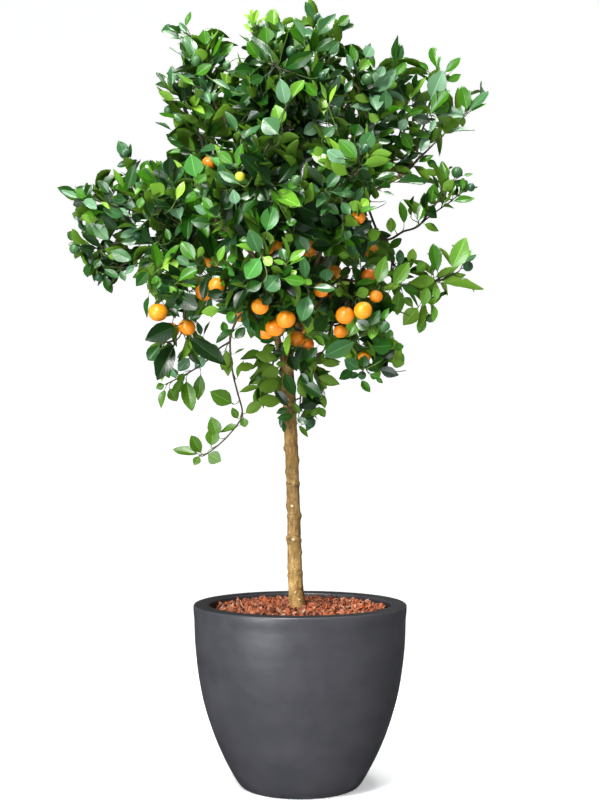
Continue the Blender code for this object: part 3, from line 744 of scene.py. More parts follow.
# limbs: parent, share of the parent's length where it leaves, and its knots
def lay_limbs():
    stem = [trunk_axis(MULCH_TOP + (FORK.z - MULCH_TOP) * i / 30) for i in range(31)]
    ids = SK.add(stem, -1, 1.0)
    for i in ids:
        SK.open[i] = False
    LIMB["trunk"] = (stem, ids)
    plan = [
        ("bough_leader", "trunk", 1.0, LEADER_KNOTS + [Vector((-0.030, 0.01, 1.12)), centre("crown_top"),
                                                      centre("crown_top") + Vector((0.010, 0, 0.070))]),
        ("bough_right", "trunk", 0.97, RIGHT_KNOTS + [Vector((0.075, 0.0, 1.115)), centre("crown_top_right"),
                                                     centre("crown_top_right") + Vector((0.02, 0, 0.055))]),
        ("bough_front_low", "bough_leader", 0.10, [centre("crown_front_low"),
                                                   centre("crown_front_low") + Vector((0.0, -0.05, 0.01))]),
        ("bough_left_low", "bough_leader", 0.16, [centre("crown_left_low"),
                                                  centre("crown_left_low") + Vector((-0.05, 0.0, 0.0))]),
        ("bough_left", "bough_leader", 0.26, [centre("crown_left"), centre("arm_left"),
                                              centre("arm_left") + Vector((-0.055, 0.0, 0.015))]),
        ("bough_front", "bough_leader", 0.32, [centre("crown_front"), centre("crown_front") + Vector((0, -0.07, 0.03))]),
        ("bough_back_left", "bough_leader", 0.38, [centre("crown_back_left"),
                                                   centre("crown_back_left") + Vector((-0.03, 0.06, 0.04))]),
        ("bough_top_left", "bough_leader", 0.50, [Vector((-0.120, 0.0, 1.215)), centre("crown_top_left"),
                                                  centre("crown_top_left") + Vector((-0.015, 0.0, 0.08))]),
        ("bough_back_top", "bough_leader", 0.58, [centre("crown_back_top"),
                                                  centre("crown_back_top") + Vector((0.0, 0.05, 0.05))]),
        ("bough_front_top", "bough_leader", 0.62, [centre("crown_front_top"),
                                                   centre("crown_front_top") + Vector((-0.01, -0.05, 0.04))]),
        ("bough_low_right", "bough_right", 0.12, [centre("crown_low_right"),
                                                  centre("crown_low_right") + Vector((0.045, -0.01, -0.035))]),
        ("bough_back_low", "bough_right", 0.18, [centre("crown_back_low"),
                                                 centre("crown_back_low") + Vector((0.0, 0.06, 0.0))]),
        ("bough_right_arm", "bough_right", 0.28, [centre("crown_right"), at(381, 239, 0.0), at(403, 231, 0.0),
                                                  at(419, 225, 0.0), at(433, 208, 0.0), at(444, 194, 0.0)]),
        ("bough_front_right", "bough_right", 0.34, [centre("crown_front_right"),
                                                    centre("crown_front_right") + Vector((0.03, -0.06, 0.03))]),
        ("bough_back_right", "bough_right", 0.42, [centre("crown_back_right"),
                                                   centre("crown_back_right") + Vector((0.03, 0.06, 0.03))]),
        ("bough_right_up", "bough_right", 0.50, [at(362, 198, -0.01), at(384, 185, 0.0), at(406, 172, 0.0),
                                                 at(417, 159, 0.0), at(440, 137, 0.0), at(464, 116, 0.0),
                                                 at(478, 103, 0.0)]),
        ("bough_right_low", "bough_right", 0.08, [at(336, 282, -0.02), at(378, 288, -0.01), at(394, 286, 0.0),
                                                  at(425, 283, 0.0), at(441, 280, 0.0), at(459, 271, 0.0)]),
    ]
    for k, (name, parent, share, knots) in enumerate(plan):
        pts, pids = LIMB[parent]
        i = min(int(round(share * (len(pts) - 1))), len(pts) - 1)
        start = Vector(SK.pos[pids[i]])
        path = curve_through([start] + list(knots), 0.014)[1:]
        path = wander(path, 0.006 if name not in ("bough_leader", "bough_right") else 0.003, k + 1)
        ids = SK.add(path, pids[i])
        LIMB[name] = (path, ids)


SHOOTS = []          # (ids of the shoot's points, kind)


def attach(target, direction, kind, prefer=None, reach=0.30, open_to=0.6, step=0.011, wob=0.004):
    """Grow a twig to a tip from the wood that it would most easily come from."""
    pos, dirs, opens = SK.arrays()
    t = np.array(target)
    v = t - pos
    dist = np.linalg.norm(v, axis=1)
    ok = opens & (dist > 0.012) & (dist < reach)
    if prefer is not None:
        keep = np.zeros(len(pos), bool)
        keep[prefer] = True
        ok &= keep
    if not ok.any():
        ok = opens & (dist > 0.008)
    vn = v / np.maximum(dist, 1e-6)[:, None]
    cosang = np.einsum("ij,ij->i", vn, dirs)
    fromdir = vn @ np.array(direction)
    cost = dist * (1.0 + 0.55 * (1 - cosang) + 0.35 * (1 - fromdir))
    cost[~ok] = 1e9
    i = int(np.argmin(cost))
    p0 = Vector(SK.pos[i])
    d0 = Vector(SK.dir[i])
    vv = (Vector(target) - p0).normalized()
    t0 = (d0 * 0.45 + vv).normalized()
    pts = hermite(p0, t0, Vector(target), Vector(direction), step)
    pts = wander(pts, wob * min(1.0, dist[i] / 0.08), len(SHOOTS) + 11)
    ids = SK.add(pts, i, open_to)
    SHOOTS.append((ids, kind))
    return ids


# ------------------------------------------------------------------ the crown's tips
# Side shoots that the photo shows apart, each through the places named.
STEMS = [
    ([(392, 162), (397, 140), (404, 116), (402, 98)], 0.0, "mid", 5),
    ([(417, 151), (424, 126), (430, 104), (436, 82), (438, 72)], 0.0, "mid", 5),
    ([(452, 128), (460, 117), (468, 111)], 0.0, "mid", 4),
    ([(419, 225), (436, 212), (450, 202), (462, 191)], 0.0, "mid", 4),
    ([(433, 208), (442, 194), (452, 184)], 0.0, "mid", 4),
    ([(410, 286), (419, 296), (427, 308)], 0.0, "fresh", 5),
    ([(394, 286), (392, 275), (396, 262)], 0.0, "mid", 4),
    ([(378, 288), (376, 276), (382, 262)], -0.01, "mid", 4),
    ([(163, 222), (140, 212), (110, 205), (92, 199), (78, 195)], 0.0, "dark", 9),
    ([(142, 212), (133, 190), (129, 168), (127, 158)], 0.0, "dark", 7),
    ([(120, 207), (112, 196), (108, 190)], 0.0, "dark", 4),
    ([(165, 236), (132, 240), (104, 246), (86, 250)], 0.0, "dark", 8),
    ([(165, 246), (140, 258), (116, 268), (106, 276)], 0.0, "dark", 7),
    ([(150, 262), (146, 272), (148, 290)], -0.01, "dark", 4),
    ([(206, 92), (206, 72), (200, 55), (190, 34), (186, 26)], 0.0, "dark", 9),
    ([(206, 78), (210, 62), (212, 50)], -0.01, "mid", 6),
    ([(196, 104), (184, 96), (174, 88)], 0.0, "dark", 6),
    ([(198, 122), (188, 116), (176, 112)], 0.0, "dark", 6),
    ([(200, 150), (190, 150), (178, 148)], 0.0, "dark", 6),
    ([(262, 78), (259, 58), (255, 40), (254, 24)], 0.0, "mid", 6),
    ([(276, 70), (275, 52), (272, 40)], -0.01, "dark", 6),
    ([(313, 74), (313, 50), (314, 34), (313, 18)], 0.0, "mid", 8),
    ([(330, 70), (332, 48), (338, 30)], 0.0, "dark", 7),
    ([(356, 92), (357, 74), (356, 64)], 0.0, "dark", 6),
    ([(372, 92), (372, 74), (370, 60)], 0.0, "dark", 6),
    ([(392, 100), (395, 84), (396, 68)], 0.0, "mid", 4),
    ([(380, 130), (386, 118), (386, 104)], 0.0, "dark", 6),
    ([(187, 298), (184.6, 310), (182, 331), (177.5, 339), (168, 341.5), (160, 342.5)], -0.06, "deep", 0),
    ([(182, 331), (185, 336)], -0.06, "deep", 0),
    ([(166, 228), (156, 222), (148, 214)], -0.02, "blue", 8),
    ([(166, 214), (158, 204), (150, 196)], 0.01, "dark", 8),
    ([(152, 216), (142, 224), (134, 226)], -0.03, "dark", 8),
    ([(148, 212), (142, 202), (138, 192)], -0.01, "mid", 8),
    ([(160, 240), (152, 246), (146, 250)], -0.03, "dark", 9),
    ([(146, 240), (138, 246), (130, 252)], 0.02, "dark", 8),
    ([(140, 212), (132, 214), (124, 218)], -0.02, "blue", 8),
    ([(130, 222), (120, 226), (112, 232)], 0.02, "dark", 8),
    ([(122, 206), (114, 214), (104, 220)], -0.02, "mid", 7),
    ([(168, 252), (158, 258), (150, 266)], 0.0, "mid", 7),
    ([(170, 196), (164, 188), (160, 178)], 0.02, "dark", 8),
    ([(96, 248), (88, 246), (81, 243)], -0.01, "dark", 8),
    ([(98, 240), (90, 236), (82, 230)], 0.01, "blue", 8),
    ([(142, 262), (130, 266), (120, 272)], 0.0, "dark", 8),
    ([(112, 262), (104, 266), (98, 268)], 0.01, "dark", 7),
    ([(104, 206), (94, 206), (86, 208)], 0.01, "dark", 7),
    ([(372, 148), (384, 146), (396, 146)], 0.0, "dark", 7),
    ([(372, 168), (384, 170), (396, 172)], 0.01, "dark", 6),
    ([(300, 232), (302, 222), (306, 214)], -0.06, "dark", 8),
    ([(205, 140), (198, 134), (190, 130)], 0.0, "mid", 8),
    ([(214, 136), (208, 128), (202, 124)], -0.02, "dark", 8),
    ([(392, 262), (400, 270), (410, 272)], 0.0, "mid", 6),
    ([(394, 264), (402, 262), (409, 256)], 0.02, "pale", 4),
    ([(292, 356), (300, 366), (301, 384), (300, 402), (298, 420)], -0.018, "dark", 0),
    ([(286, 352), (276, 356), (272, 372), (274, 392)], -0.012, "mid", 0),
    ([(345, 338), (356, 350), (362, 364), (368, 370)], -0.05, "dark", 5),
    ([(366, 368), (380, 366), (396, 371), (406, 370)], -0.04, "dark", 0),
    ([(330, 330), (326, 346), (316, 360), (312, 378)], -0.03, "mid", 5),
]

# The crown's outline as the camera sees it: height in the picture, left, right.
OUTLINE = [
    (-4, 298, 312), (4, 184, 318), (8, 184, 326), (14, 182, 340), (20, 179, 352), (27, 160, 352), (33, 160, 352),
    (38, 172, 398), (50, 172, 440), (58, 172, 444), (66, 166, 446), (72, 157, 454), (80, 155, 458), (86, 155, 482),
    (90, 155, 492), (98, 166, 486), (112, 158, 482), (118, 164, 480), (130, 166, 478), (137, 112, 452), (150, 112, 448),
    (160, 112, 448), (170, 110, 474), (178, 94, 475), (185, 58, 477), (192, 60, 477), (198, 69, 476),
    (208, 73, 462), (225, 73, 446), (236, 66, 470), (250, 67, 476), (262, 76, 478), (272, 86, 474), (282, 92, 480),
    (290, 104, 484), (298, 140, 440), (312, 142, 437), (324, 143, 434), (332, 142, 414), (345, 142, 406), (358, 144, 406),
    (368, 150, 408), (380, 152, 392), (390, 152, 376), (398, 156, 340), (410, 184, 328), (430, 184, 314), (440, 180, 308),
    (455, 168, 250), (470, 186, 250),
]
# Gaps in the crown that the photo shows: place and half sizes.
GAPS = [(386, 211, 19, 19), (240, 26, 6, 16), (236, 332, 12, 10), (208, 321, 8, 7), (218, 352, 7, 10), (222, 375, 10, 14),
        (173, 55, 12, 6), (340, 402, 14, 10), (330, 392, 8, 8), (160, 106, 10, 5), (405, 190, 14, 7),
        (383, 50, 8, 13), (366, 33, 18, 10), (414, 53, 11, 12), (287, 14, 9, 14), (299, 10, 6, 12), (197, 18, 7, 13), (263, 5, 8, 6), (222, 13, 13, 14),
        (399, 330, 9, 11), (421, 254, 6, 9), (126, 176, 5, 6), (345, 36, 6, 8),
        (156, 146, 11, 12), (104, 173, 5, 7), (128, 297, 14, 12), (412, 234, 16, 9), (136, 320, 9, 20), (381, 57, 12, 9), (387, 55, 6, 10), (449, 96, 5, 12), (455, 80, 8, 6),
        (380, 196, 12, 9), (377, 224, 8, 7), (392, 321, 8, 8), (357, 38, 16, 7), (380, 54, 9, 11), (409, 244, 9, 4),
        (386, 300, 5, 8), (248, 353, 8, 6), (211, 24, 9, 5), (267, 12, 8, 9), (251, 3, 8, 4), (247, 373, 6, 7), (248, 397, 8, 8), (182, 70, 5, 4),
        (241, 90, 4, 7), (108, 172, 8, 8), (171, 147, 6, 7), (146, 300, 5, 14)]


def in_view(p, slack=2.0):
    """Whether a place of the crown lies within its outline, and in no gap."""
    x, y = seen(p)
    row = [o[0] for o in OUTLINE]
    if y < row[0] or y > row[-1]:
        return False
    if not (np.interp(y, row, [o[1] for o in OUTLINE]) - slack < x < np.interp(y, row, [o[2] for o in OUTLINE]) + slack):
        return False
    return not any(((x - gx) / rx) ** 2 + ((y - gy) / ry) ** 2 < 1 for gx, gy, rx, ry in GAPS)


# Single leaves that stand clear in the photo: where the blade starts, where its tip
# is, how wide it looks, and its kind; a capital shows its underside.
# d dark, e deepest (painted shade), b bluish, m middle, f fresh, l lime, g bright, p pale (painted sheen)
LEAVES = """
430 100 443 70 19 p|438 70 432 46 12.5 m|444 73 461 57 9 m|447 82 461 74 8 m|430 71 418 61 5 m|414 90 417 72 5 d
409 102 426 77 9 f|429 116 450 90 10 m|467 111 462 85 12.6 m|468 111 490 90 9 b|469 112 487 103 5 m|443 136 460 107 17 M
447 132 475 130 5 b|435 114 449 102 13 m|432 122 413 117 11 e|413 150 401 131 12 m|420 153 428 134 10 p|421 153 398 163 9 e
411 153 389 135 11 d|394 182 426 183 8 d|417 162 434 155 7 m|423 169 439 175 7 M|382 191 394 195 4 b|396 67 398 34 5.5 d
394 77 407 62 8 m|407 98 392 77 13 d|402 111 399 93 14 M|406 115 424 109 8 m|385 111 386 90 13 b|350 106 372 109 8 p
404 225 400 201 9 m|415 215 406 200 4 m|418 223 426 198 10 m|431 204 434 183 12.6 m|442 192 454 179 10 M|447 181 441 161 11 m
438 191 432 175 5 d|453 194 452 182 7 m|462 190 463 177 6 m|463 175 473 174 4 m|452 201 475 198 9 m|423 223 439 231 7 M
391 234 391 217 10 l|438 274 433 243 13.5 m|451 270 466 237 17.5 f|464 263 477 254 5 b|447 282 484 289 5.5 M
377 285 386 255 13 f|392 287 409 262 14 f|406 283 435 279 13 M|400 288 397 315 13 f|437 283 436 301 8 f|428 285 423 306 11 f
419 306 403 325 16 l|419 294 402 286 9 m|400 267 400 249 9 b|410 265 413 248 10 l
313 19 305 1 8.5 b|306 39 293 17 7 b|317 36 336 13 12 b|338 26 349 15 10 m|339 33 355 24 6 d|314 51 335 38 10 d
328 54 339 41 10 b|356 65 351 44 8 m|351 67 344 47 6 d|365 58 372 46 12 p|359 71 369 59 11 f
185 27 191 11 6 m|182 40 161 30 8 b|183 34 167 25 6 d|196 59 184 33 11 b|206 46 204 29 11 m|201 63 200 48 13 M
206 51 219 28 5 f|212 59 224 34 5 m|217 56 234 43 9 m|193 63 169 47 6 d|195 75 212 64 10 m|170 88 156 72 8 d
172 86 172 65 9 b|196 86 178 75 6 f|176 100 158 91 8 M|182 104 181 82 8 e|231 91 212 79 6 b|172 130 155 122 5 b
178 119 159 113 5 m|186 148 167 139 5 d|185 151 166 152 5 m|254 24 242 12 5 l|254 24 251 8 6 l|254 24 258 9 6 l|255 26 268 15 4 l
254 33 243 23 5 l|267 44 266 26 14 m|276 40 281 20 11 b|259 59 247 41 11 m|251 44 239 34 4 m|274 59 249 34 7 d
265 76 249 82 10 d|279 135 263 118 18 b
127 156 118 140 12 b|131 159 131 143 5 d|131 161 117 166 7 d|139 173 149 160 9 m|124 190 113 168 6.5 f|127 191 135 163 12 d
76 194 57 187 10 d|78 197 84 185 11 d|86 197 91 184 8 d|110 194 98 180 9 d|110 205 107 187 9 e|127 200 112 198 10 b
84 217 72 213 11 d|78 239 67 232 10 d|84 245 90 265 8 e|104 275 112 293 9 d|101 258 94 268 8 d|149 270 136 286 11 d|149 294 147 318 6 d
178 325 145 340 19 e|160 344 148 360 14 d|175 342 157 380 18 e|186 335 226 365 16 e
165 384 156 388 7 m|165 388 161 408 7 m|169 387 177 401 11 f|184 377 173 395 9 m|186 378 192 411 14.5 m|201 372 198 400 11 m
234 404 210 391 17 m|218 437 211 416 13 m|211 447 214 427 13 m|202 454 191 435 11 m|200 454 173 449 8 m|200 455 194 465 7.5 m
207 453 221 461 13 m|240 425 220 432 6 f|238 419 232 407 7 m|243 416 245 427 8 m|244 414 263 401 10 M|283 402 258 399 13 M
262 385 239 392 7 M|256 365 236 368 9 M|272 359 256 353 11 M|281 372 256 370 17 M|281 381 259 389 14 M|261 377 249 378 7 d
233 354 245 348 3 m|237 379 244 360 5 m|226 334 223 321 8 m|237 328 216 343 9 d|234 339 245 327 9 d|226 347 228 376 11 M
203 336 210 321 4 m|201 336 197 321 6 b|190 357 178 371 11 p|193 348 177 358 7 p
284 371 295 395 12 d|302 382 323 396 13 d|322 399 299 407 13 e|275 389 288 406 10 e|294 415 277 418 8 d|282 420 284 432 4 d
296 417 308 423 7 d|298 424 308 437 5 m|319 406 325 417 8 m|316 376 340 384 11 M|320 363 340 364 8 M|357 340 324 356 17 b
309 294 302 321 15.5 b|307 335 311 315 11 l|289 332 287 355 6 l|314 332 327 315 14 d|316 332 331 342 8 m|310 334 324 346 6 f
295 347 310 358 12 d|359 369 344 359 13 b|354 369 339 379 10 d|363 368 365 355 11 d|360 374 346 376 7 b|370 367 384 357 10 d
369 374 379 377 7 m|378 368 399 375 11 e|370 347 393 345 16 d|383 359 395 349 8 e|393 347 404 346 8 m|390 359 403 365 10 M
208 156 236 170 11 g|241 185 218 171 9 b|274 187 239 153 16 e|239 109 253 91 9 d|237 133 225 111 8 b|244 123 269 110 9 d
242 139 261 124 7 b|205 121 207 106 13 m|196 179 191 154 18 g|196 182 210 166 9 m|196 183 209 175 8 m|185 176 172 159 6 l
176 200 184 181 8 l|169 177 170 156 13 e|168 178 152 170 7 e|166 194 150 184 14 M|183 203 205 191 9 m|181 220 174 203 14 p
221 210 227 190 8 e|223 210 234 198 8 d|214 210 202 197 8 m|236 205 233 189 10 p|269 200 256 190 12 d|280 207 269 189 7 m
239 199 254 192 7 d|234 165 217 150 9 m|237 168 242 143 9 m|183 121 174 113 8 b|207 148 193 144 11 d|192 153 179 151 6 e
324 115 321 96 9 l|327 102 320 82 5 f|329 104 337 84 5 l|282 126 275 104 14 f|286 106 280 78 13 p|289 102 304 80 9 f
284 102 271 82 6 f|318 97 305 82 10 m|321 124 303 133 12 p|316 120 310 97 10 e|358 160 339 139 13 m|347 164 327 150 13 p
349 175 331 163 10 M|361 151 373 131 14 b|369 155 392 153 8 M|362 165 391 159 9 M|324 189 306 165 9 e|326 189 340 170 10 b
329 191 357 194 9.5 b|321 192 306 184 7 b|353 126 347 108 11 e|361 103 364 93 15 M|368 112 379 122 9 M|355 137 359 124 13 d
364 130 375 123 8 e|375 137 395 129 7 m|375 140 391 142 6 d|323 138 335 126 9 b|321 157 316 146 9 M|285 209 271 190 8 m
288 206 305 193 12 d|287 192 300 175 8 m|375 179 395 172 7 d|366 181 361 168 11 e|359 169 369 168 4 b
266 233 274 205 16 g|264 246 268 231 14 l|261 256 246 279 17 g|260 254 249 229 14 b|262 247 243 216 8 f|260 252 236 245 7 f
263 256 272 265 9 l|161 268 179 260 14 l|210 213 194 206 9 p|222 219 201 202 10 m|212 224 190 221 11 d|225 225 230 200 10 e
225 227 241 217 5 m|212 262 197 228 7 e|212 258 203 229 9 e|215 260 211 231 4 d|218 262 225 245 7 f|196 261 181 241 13 m
197 258 203 246 7 M|157 269 154 242 8 m|163 261 180 244 7 m|175 255 190 265 9 b|198 265 186 266 6 b|157 290 156 275 10 m
177 282 198 269 9 m|187 284 196 280 6 b|179 283 196 287 4 f|177 288 193 302 8 m|169 285 178 296 6 f|170 293 200 309 16 e
208 273 203 300 10 e|225 292 207 295 9 e|213 275 225 286 6 f|220 264 235 276 7 g|245 288 234 310 8 e|263 282 246 290 10 d
280 274 266 290 17 b|272 296 262 304 9 e|221 309 201 312 10 M|188 319 201 316 6 d|167 307 180 317 6 e|226 261 237 256 8 m
158 244 165 226 8 d|170 241 166 228 6 m|174 238 187 217 7 b
319 214 296 204 17 e|318 217 340 224 12 e|334 238 303 233 8 e|333 245 311 246 12 e|309 254 296 236 13 b|325 254 310 274 12 e
303 254 306 279 10 b|288 262 306 249 8 f|288 262 282 236 4 f|286 261 281 248 8 b|288 265 305 257 4 f|287 264 273 260 5 f
282 278 307 282 10 m|290 274 297 271 6 l|304 279 312 284 6 f|326 282 327 268 13 b|312 287 336 289 8.5 b|340 285 339 297 8 F
355 295 369 290 11 M|355 257 350 239 12 b|358 257 367 236 11 g|360 263 371 251 10 g|360 266 379 267 6.5 m|350 256 338 254 7 f
352 236 372 220 12 e|364 236 381 232 12 M|358 212 376 208 6 m|361 207 368 199 9 l|353 212 358 200 12 M|345 239 350 230 8 b
377 281 355 284 6 m|352 268 339 274 8 m|340 215 326 203 8 d|351 216 342 202 9 b|285 222 297 221 7 m|292 233 286 241 9 M
79 198 61 190 6 p|87 197 75 189 10 m|84 200 73 205 9 e|80 199 97 209 8 p|99 219 81 216 10 M|92 222 109 240 13 b
81 232 101 248 9 e|76 240 90 244 4 l|96 252 78 246 9 e|121 191 114 186 6 e|134 197 143 180 7 f|142 196 139 208 8 m
101 215 118 230 10 e|100 201 110 209 4 l|118 207 129 216 4 p|140 229 134 214 11 b|137 230 120 237 8 p|140 240 121 243 8 b
109 250 132 260 13 b|144 230 154 216 5 p|151 242 157 265 8 m|150 243 147 260 8 b|152 262 140 266 6 e|136 264 125 274 7 p
103 268 119 278 8 b|121 270 125 281 7 b|107 256 117 256 6 M|104 240 112 252 8 e|112 228 124 222 8 d|128 232 138 222 8 d
222 352 204 345 9 M|205 355 195 369 10 p|229 352 222 370 9 M|291 330 287 354 6 l|276 339 260 341 7 d|279 358 255 354 12 M|310 416 320 407 7.5 m|289 354 297 371 11 e|283 341 280 351 7 e|286 363 276 364 6 M
317 374 331 371 4 d|313 357 312 373 9 M|305 358 303 372 8 e|306 372 297 386 7 M|297 384 306 397 8 F|316 380 327 388 7 M
321 392 325 408 7 M|293 401 300 414 6 m|277 348 266 348 7 e|268 362 255 358 5 d|290 344 283 356 8 d|303 346 296 360 9 e
280 366 262 378 14 M|276 344 262 351 9 M|318 346 308 358 9 d|324 350 316 362 8 M|300 372 308 384 8 d|284 352 272 354 9 e
361 379 370 392 8 m|375 376 383 383 5 m|369 326 380 310 10 d|381 320 389 308 7 m|372 329 355 321 11 d|388 341 391 329 8 m
180 36 168 31 6 m|188 34 178 21 6 b|186 30 176 26 5 d|330 58 338 42 9 p|352 70 347 54 7 p|378 78 384 66 9 p|341 74 351 68 8 p|406 117 400 131 10 p|436 118 430 132 6 p
345 93 352 80 8 b|398 122 405 108 8 b|402 104 411 112 6 m|388 248 402 238 9 m|416 272 426 262 10 f|400 268 414 262 8 m
404 296 413 307 8 f|424 316 419 333 10 f|430 300 433 322 6 f|236 312 226 319 8 m|172 367 176 378 8 p|184 372 178 384 7 f
288 408 276 413 7 d|284 412 281 428 6 d|412 164 430 180 9 M|426 160 437 166 8 m
"""
LETTER = {"d": "dark", "e": "deep", "b": "blue", "m": "mid", "f": "fresh", "l": "lime", "g": "bright", "p": "pale"}
SINGLES = []         # base, tip, width, kind, underside shown


def depth_at(px, py):
    """The depth of the crown's near side at a place, a little inside it."""
    hit = surface_at(px, py)
    k = seen(hit)
    if abs(hit.y) < 1e-9:
        return 0.0
    eye = Vector((0.0, -CAM_DIST, CAM_Z))
    d = (hit - eye).normalized()
    far = ALL.ray_cast(hit + d * 0.002, d)
    thick = far[3] if far[0] is not None else 0.05
    return hit.y + min(0.006 if abs(hit.x) < 0.20 else 0.014, thick * 0.5)


def grow_from(points, kind, n, size=1.0, open_to=0.85, **more):
    """A shoot through given points, joined on to the nearest wood."""
    pos, dirs, opens = SK.arrays()
    first = np.array(points[0])
    d = np.linalg.norm(pos - first, axis=1) + 9 * (~opens)
    i = int(np.argmin(d))
    lead = []
    if d[i] > 0.008:
        d0 = Vector(SK.dir[i])
        go = (points[0] - Vector(SK.pos[i])).normalized()
        lead = hermite(Vector(SK.pos[i]), (d0 * 0.5 + go).normalized(), points[0],
                       (points[1] - points[0]).normalized(), 0.010)
        rest = points[1:]
    else:
        rest = points[1:]
    ids = SK.add(lead + rest, i, open_to)
    info = dict(kind=kind, n=n, size=size, named=True)
    info.update(more)
    SHOOTS.append((ids, info))
    return ids


def lay_shoots():
    tips = []
    # the hanging twigs at the lower left, which the photo shows bare
    hang = [(240, 315.5), (233, 328), (230, 341.4), (232.4, 370), (237.3, 391.4), (242.3, 411), (239, 421.8),
            (225.7, 437.9), (211.4, 450.4), (202.5, 455.7), (198.5, 454.6)]
    ids = grow_from(curve_through([at(257, 304, -0.02)] + [at(x, y) for x, y in hang], 0.008), "mid", 0, open_to=1.0,
                    hangs=True)
    LIMB["hanging"] = (None, ids)
    side = [(230, 341.4), (218.6, 348.6), (206, 361), (188, 372.7), (165, 384.3)]
    grow_from(curve_through([at(x, y) for x, y in side], 0.008), "mid", 0, open_to=1.0, hangs=True)
    for knots, y, kind, n in STEMS:
        pts = curve_through([at(px, py, y) for px, py in knots], 0.009)
        grow_from(wander(pts, 0.0025, len(SHOOTS)), kind, n)
        tips.append((tuple(pts[-1]), 0.020))
        tips += [(tuple(q), 0.012) for q in pts[3:-2:3]]
    # the single leaves, each on a stalk from the nearest wood
    rows = [r for line in LEAVES.strip().splitlines() for r in line.split("|")]
    for i, row in enumerate(rows):
        f = row.split()
        bx, by, tx, ty, w = (float(v) for v in f[:5])
        y = depth_at(bx, by)
        if bx < 250 and by > 330:
            y = -0.06 if (bx < 190 and by < 345) else 0.0
        elif by > 328 and abs(bx - 300) < 22 and by < 349:
            y = -0.062
        elif by > 328 and abs(bx - 292) < 18 and by < 362:
            y = -0.046
        elif by > 338 and abs(bx - 290) < 15:
            y = -0.026
        elif by > 362 and abs(bx - 295) < 32:
            y = -0.022
        under = f[5].isupper()
        kind = LETTER[f[5].lower()]
        if by > 336 and bx < 345 and kind in ("mid", "fresh"):
            kind = "olive"
        if by > 336 and bx < 250 and w < 14:
            w *= 1.10
        b0 = at(bx, by, y)
        length = math.hypot(tx - bx, ty - by) * PIXEL
        tilt = 0.30 * math.sin(i * 2.4) - 0.12
        t0 = at(tx, ty, y + tilt * length)
        axis = (t0 - b0).normalized()
        attach(b0, axis, dict(kind=kind, n=0, size=1.0, bare=True), reach=0.10, open_to=0.0, step=0.007, wob=0.0)
        SINGLES.append((b0, t0, w * PIXEL, kind, under))
        tips.append((tuple(b0.lerp(t0, 0.3)), 0.011))
    return tips


def sample_shell(count):
    """Points all over the outside of the crown, with the way out at each."""
    v = np.concatenate(all_v)
    t = np.concatenate(all_t)
    a, b, c = v[t[:, 0]], v[t[:, 1]], v[t[:, 2]]
    nrm = np.cross(b - a, c - a)
    area = np.linalg.norm(nrm, axis=1)
    nrm /= np.maximum(area, 1e-12)[:, None]
    pick = rng.choice(len(t), count, p=area / area.sum())
    u, w = rng.random(count), rng.random(count)
    flip = u + w > 1
    u[flip], w[flip] = 1 - u[flip], 1 - w[flip]
    p = a[pick] + (b - a)[pick] * u[:, None] + (c - a)[pick] * w[:, None]
    return p, nrm[pick], [owner[i] for i in pick]


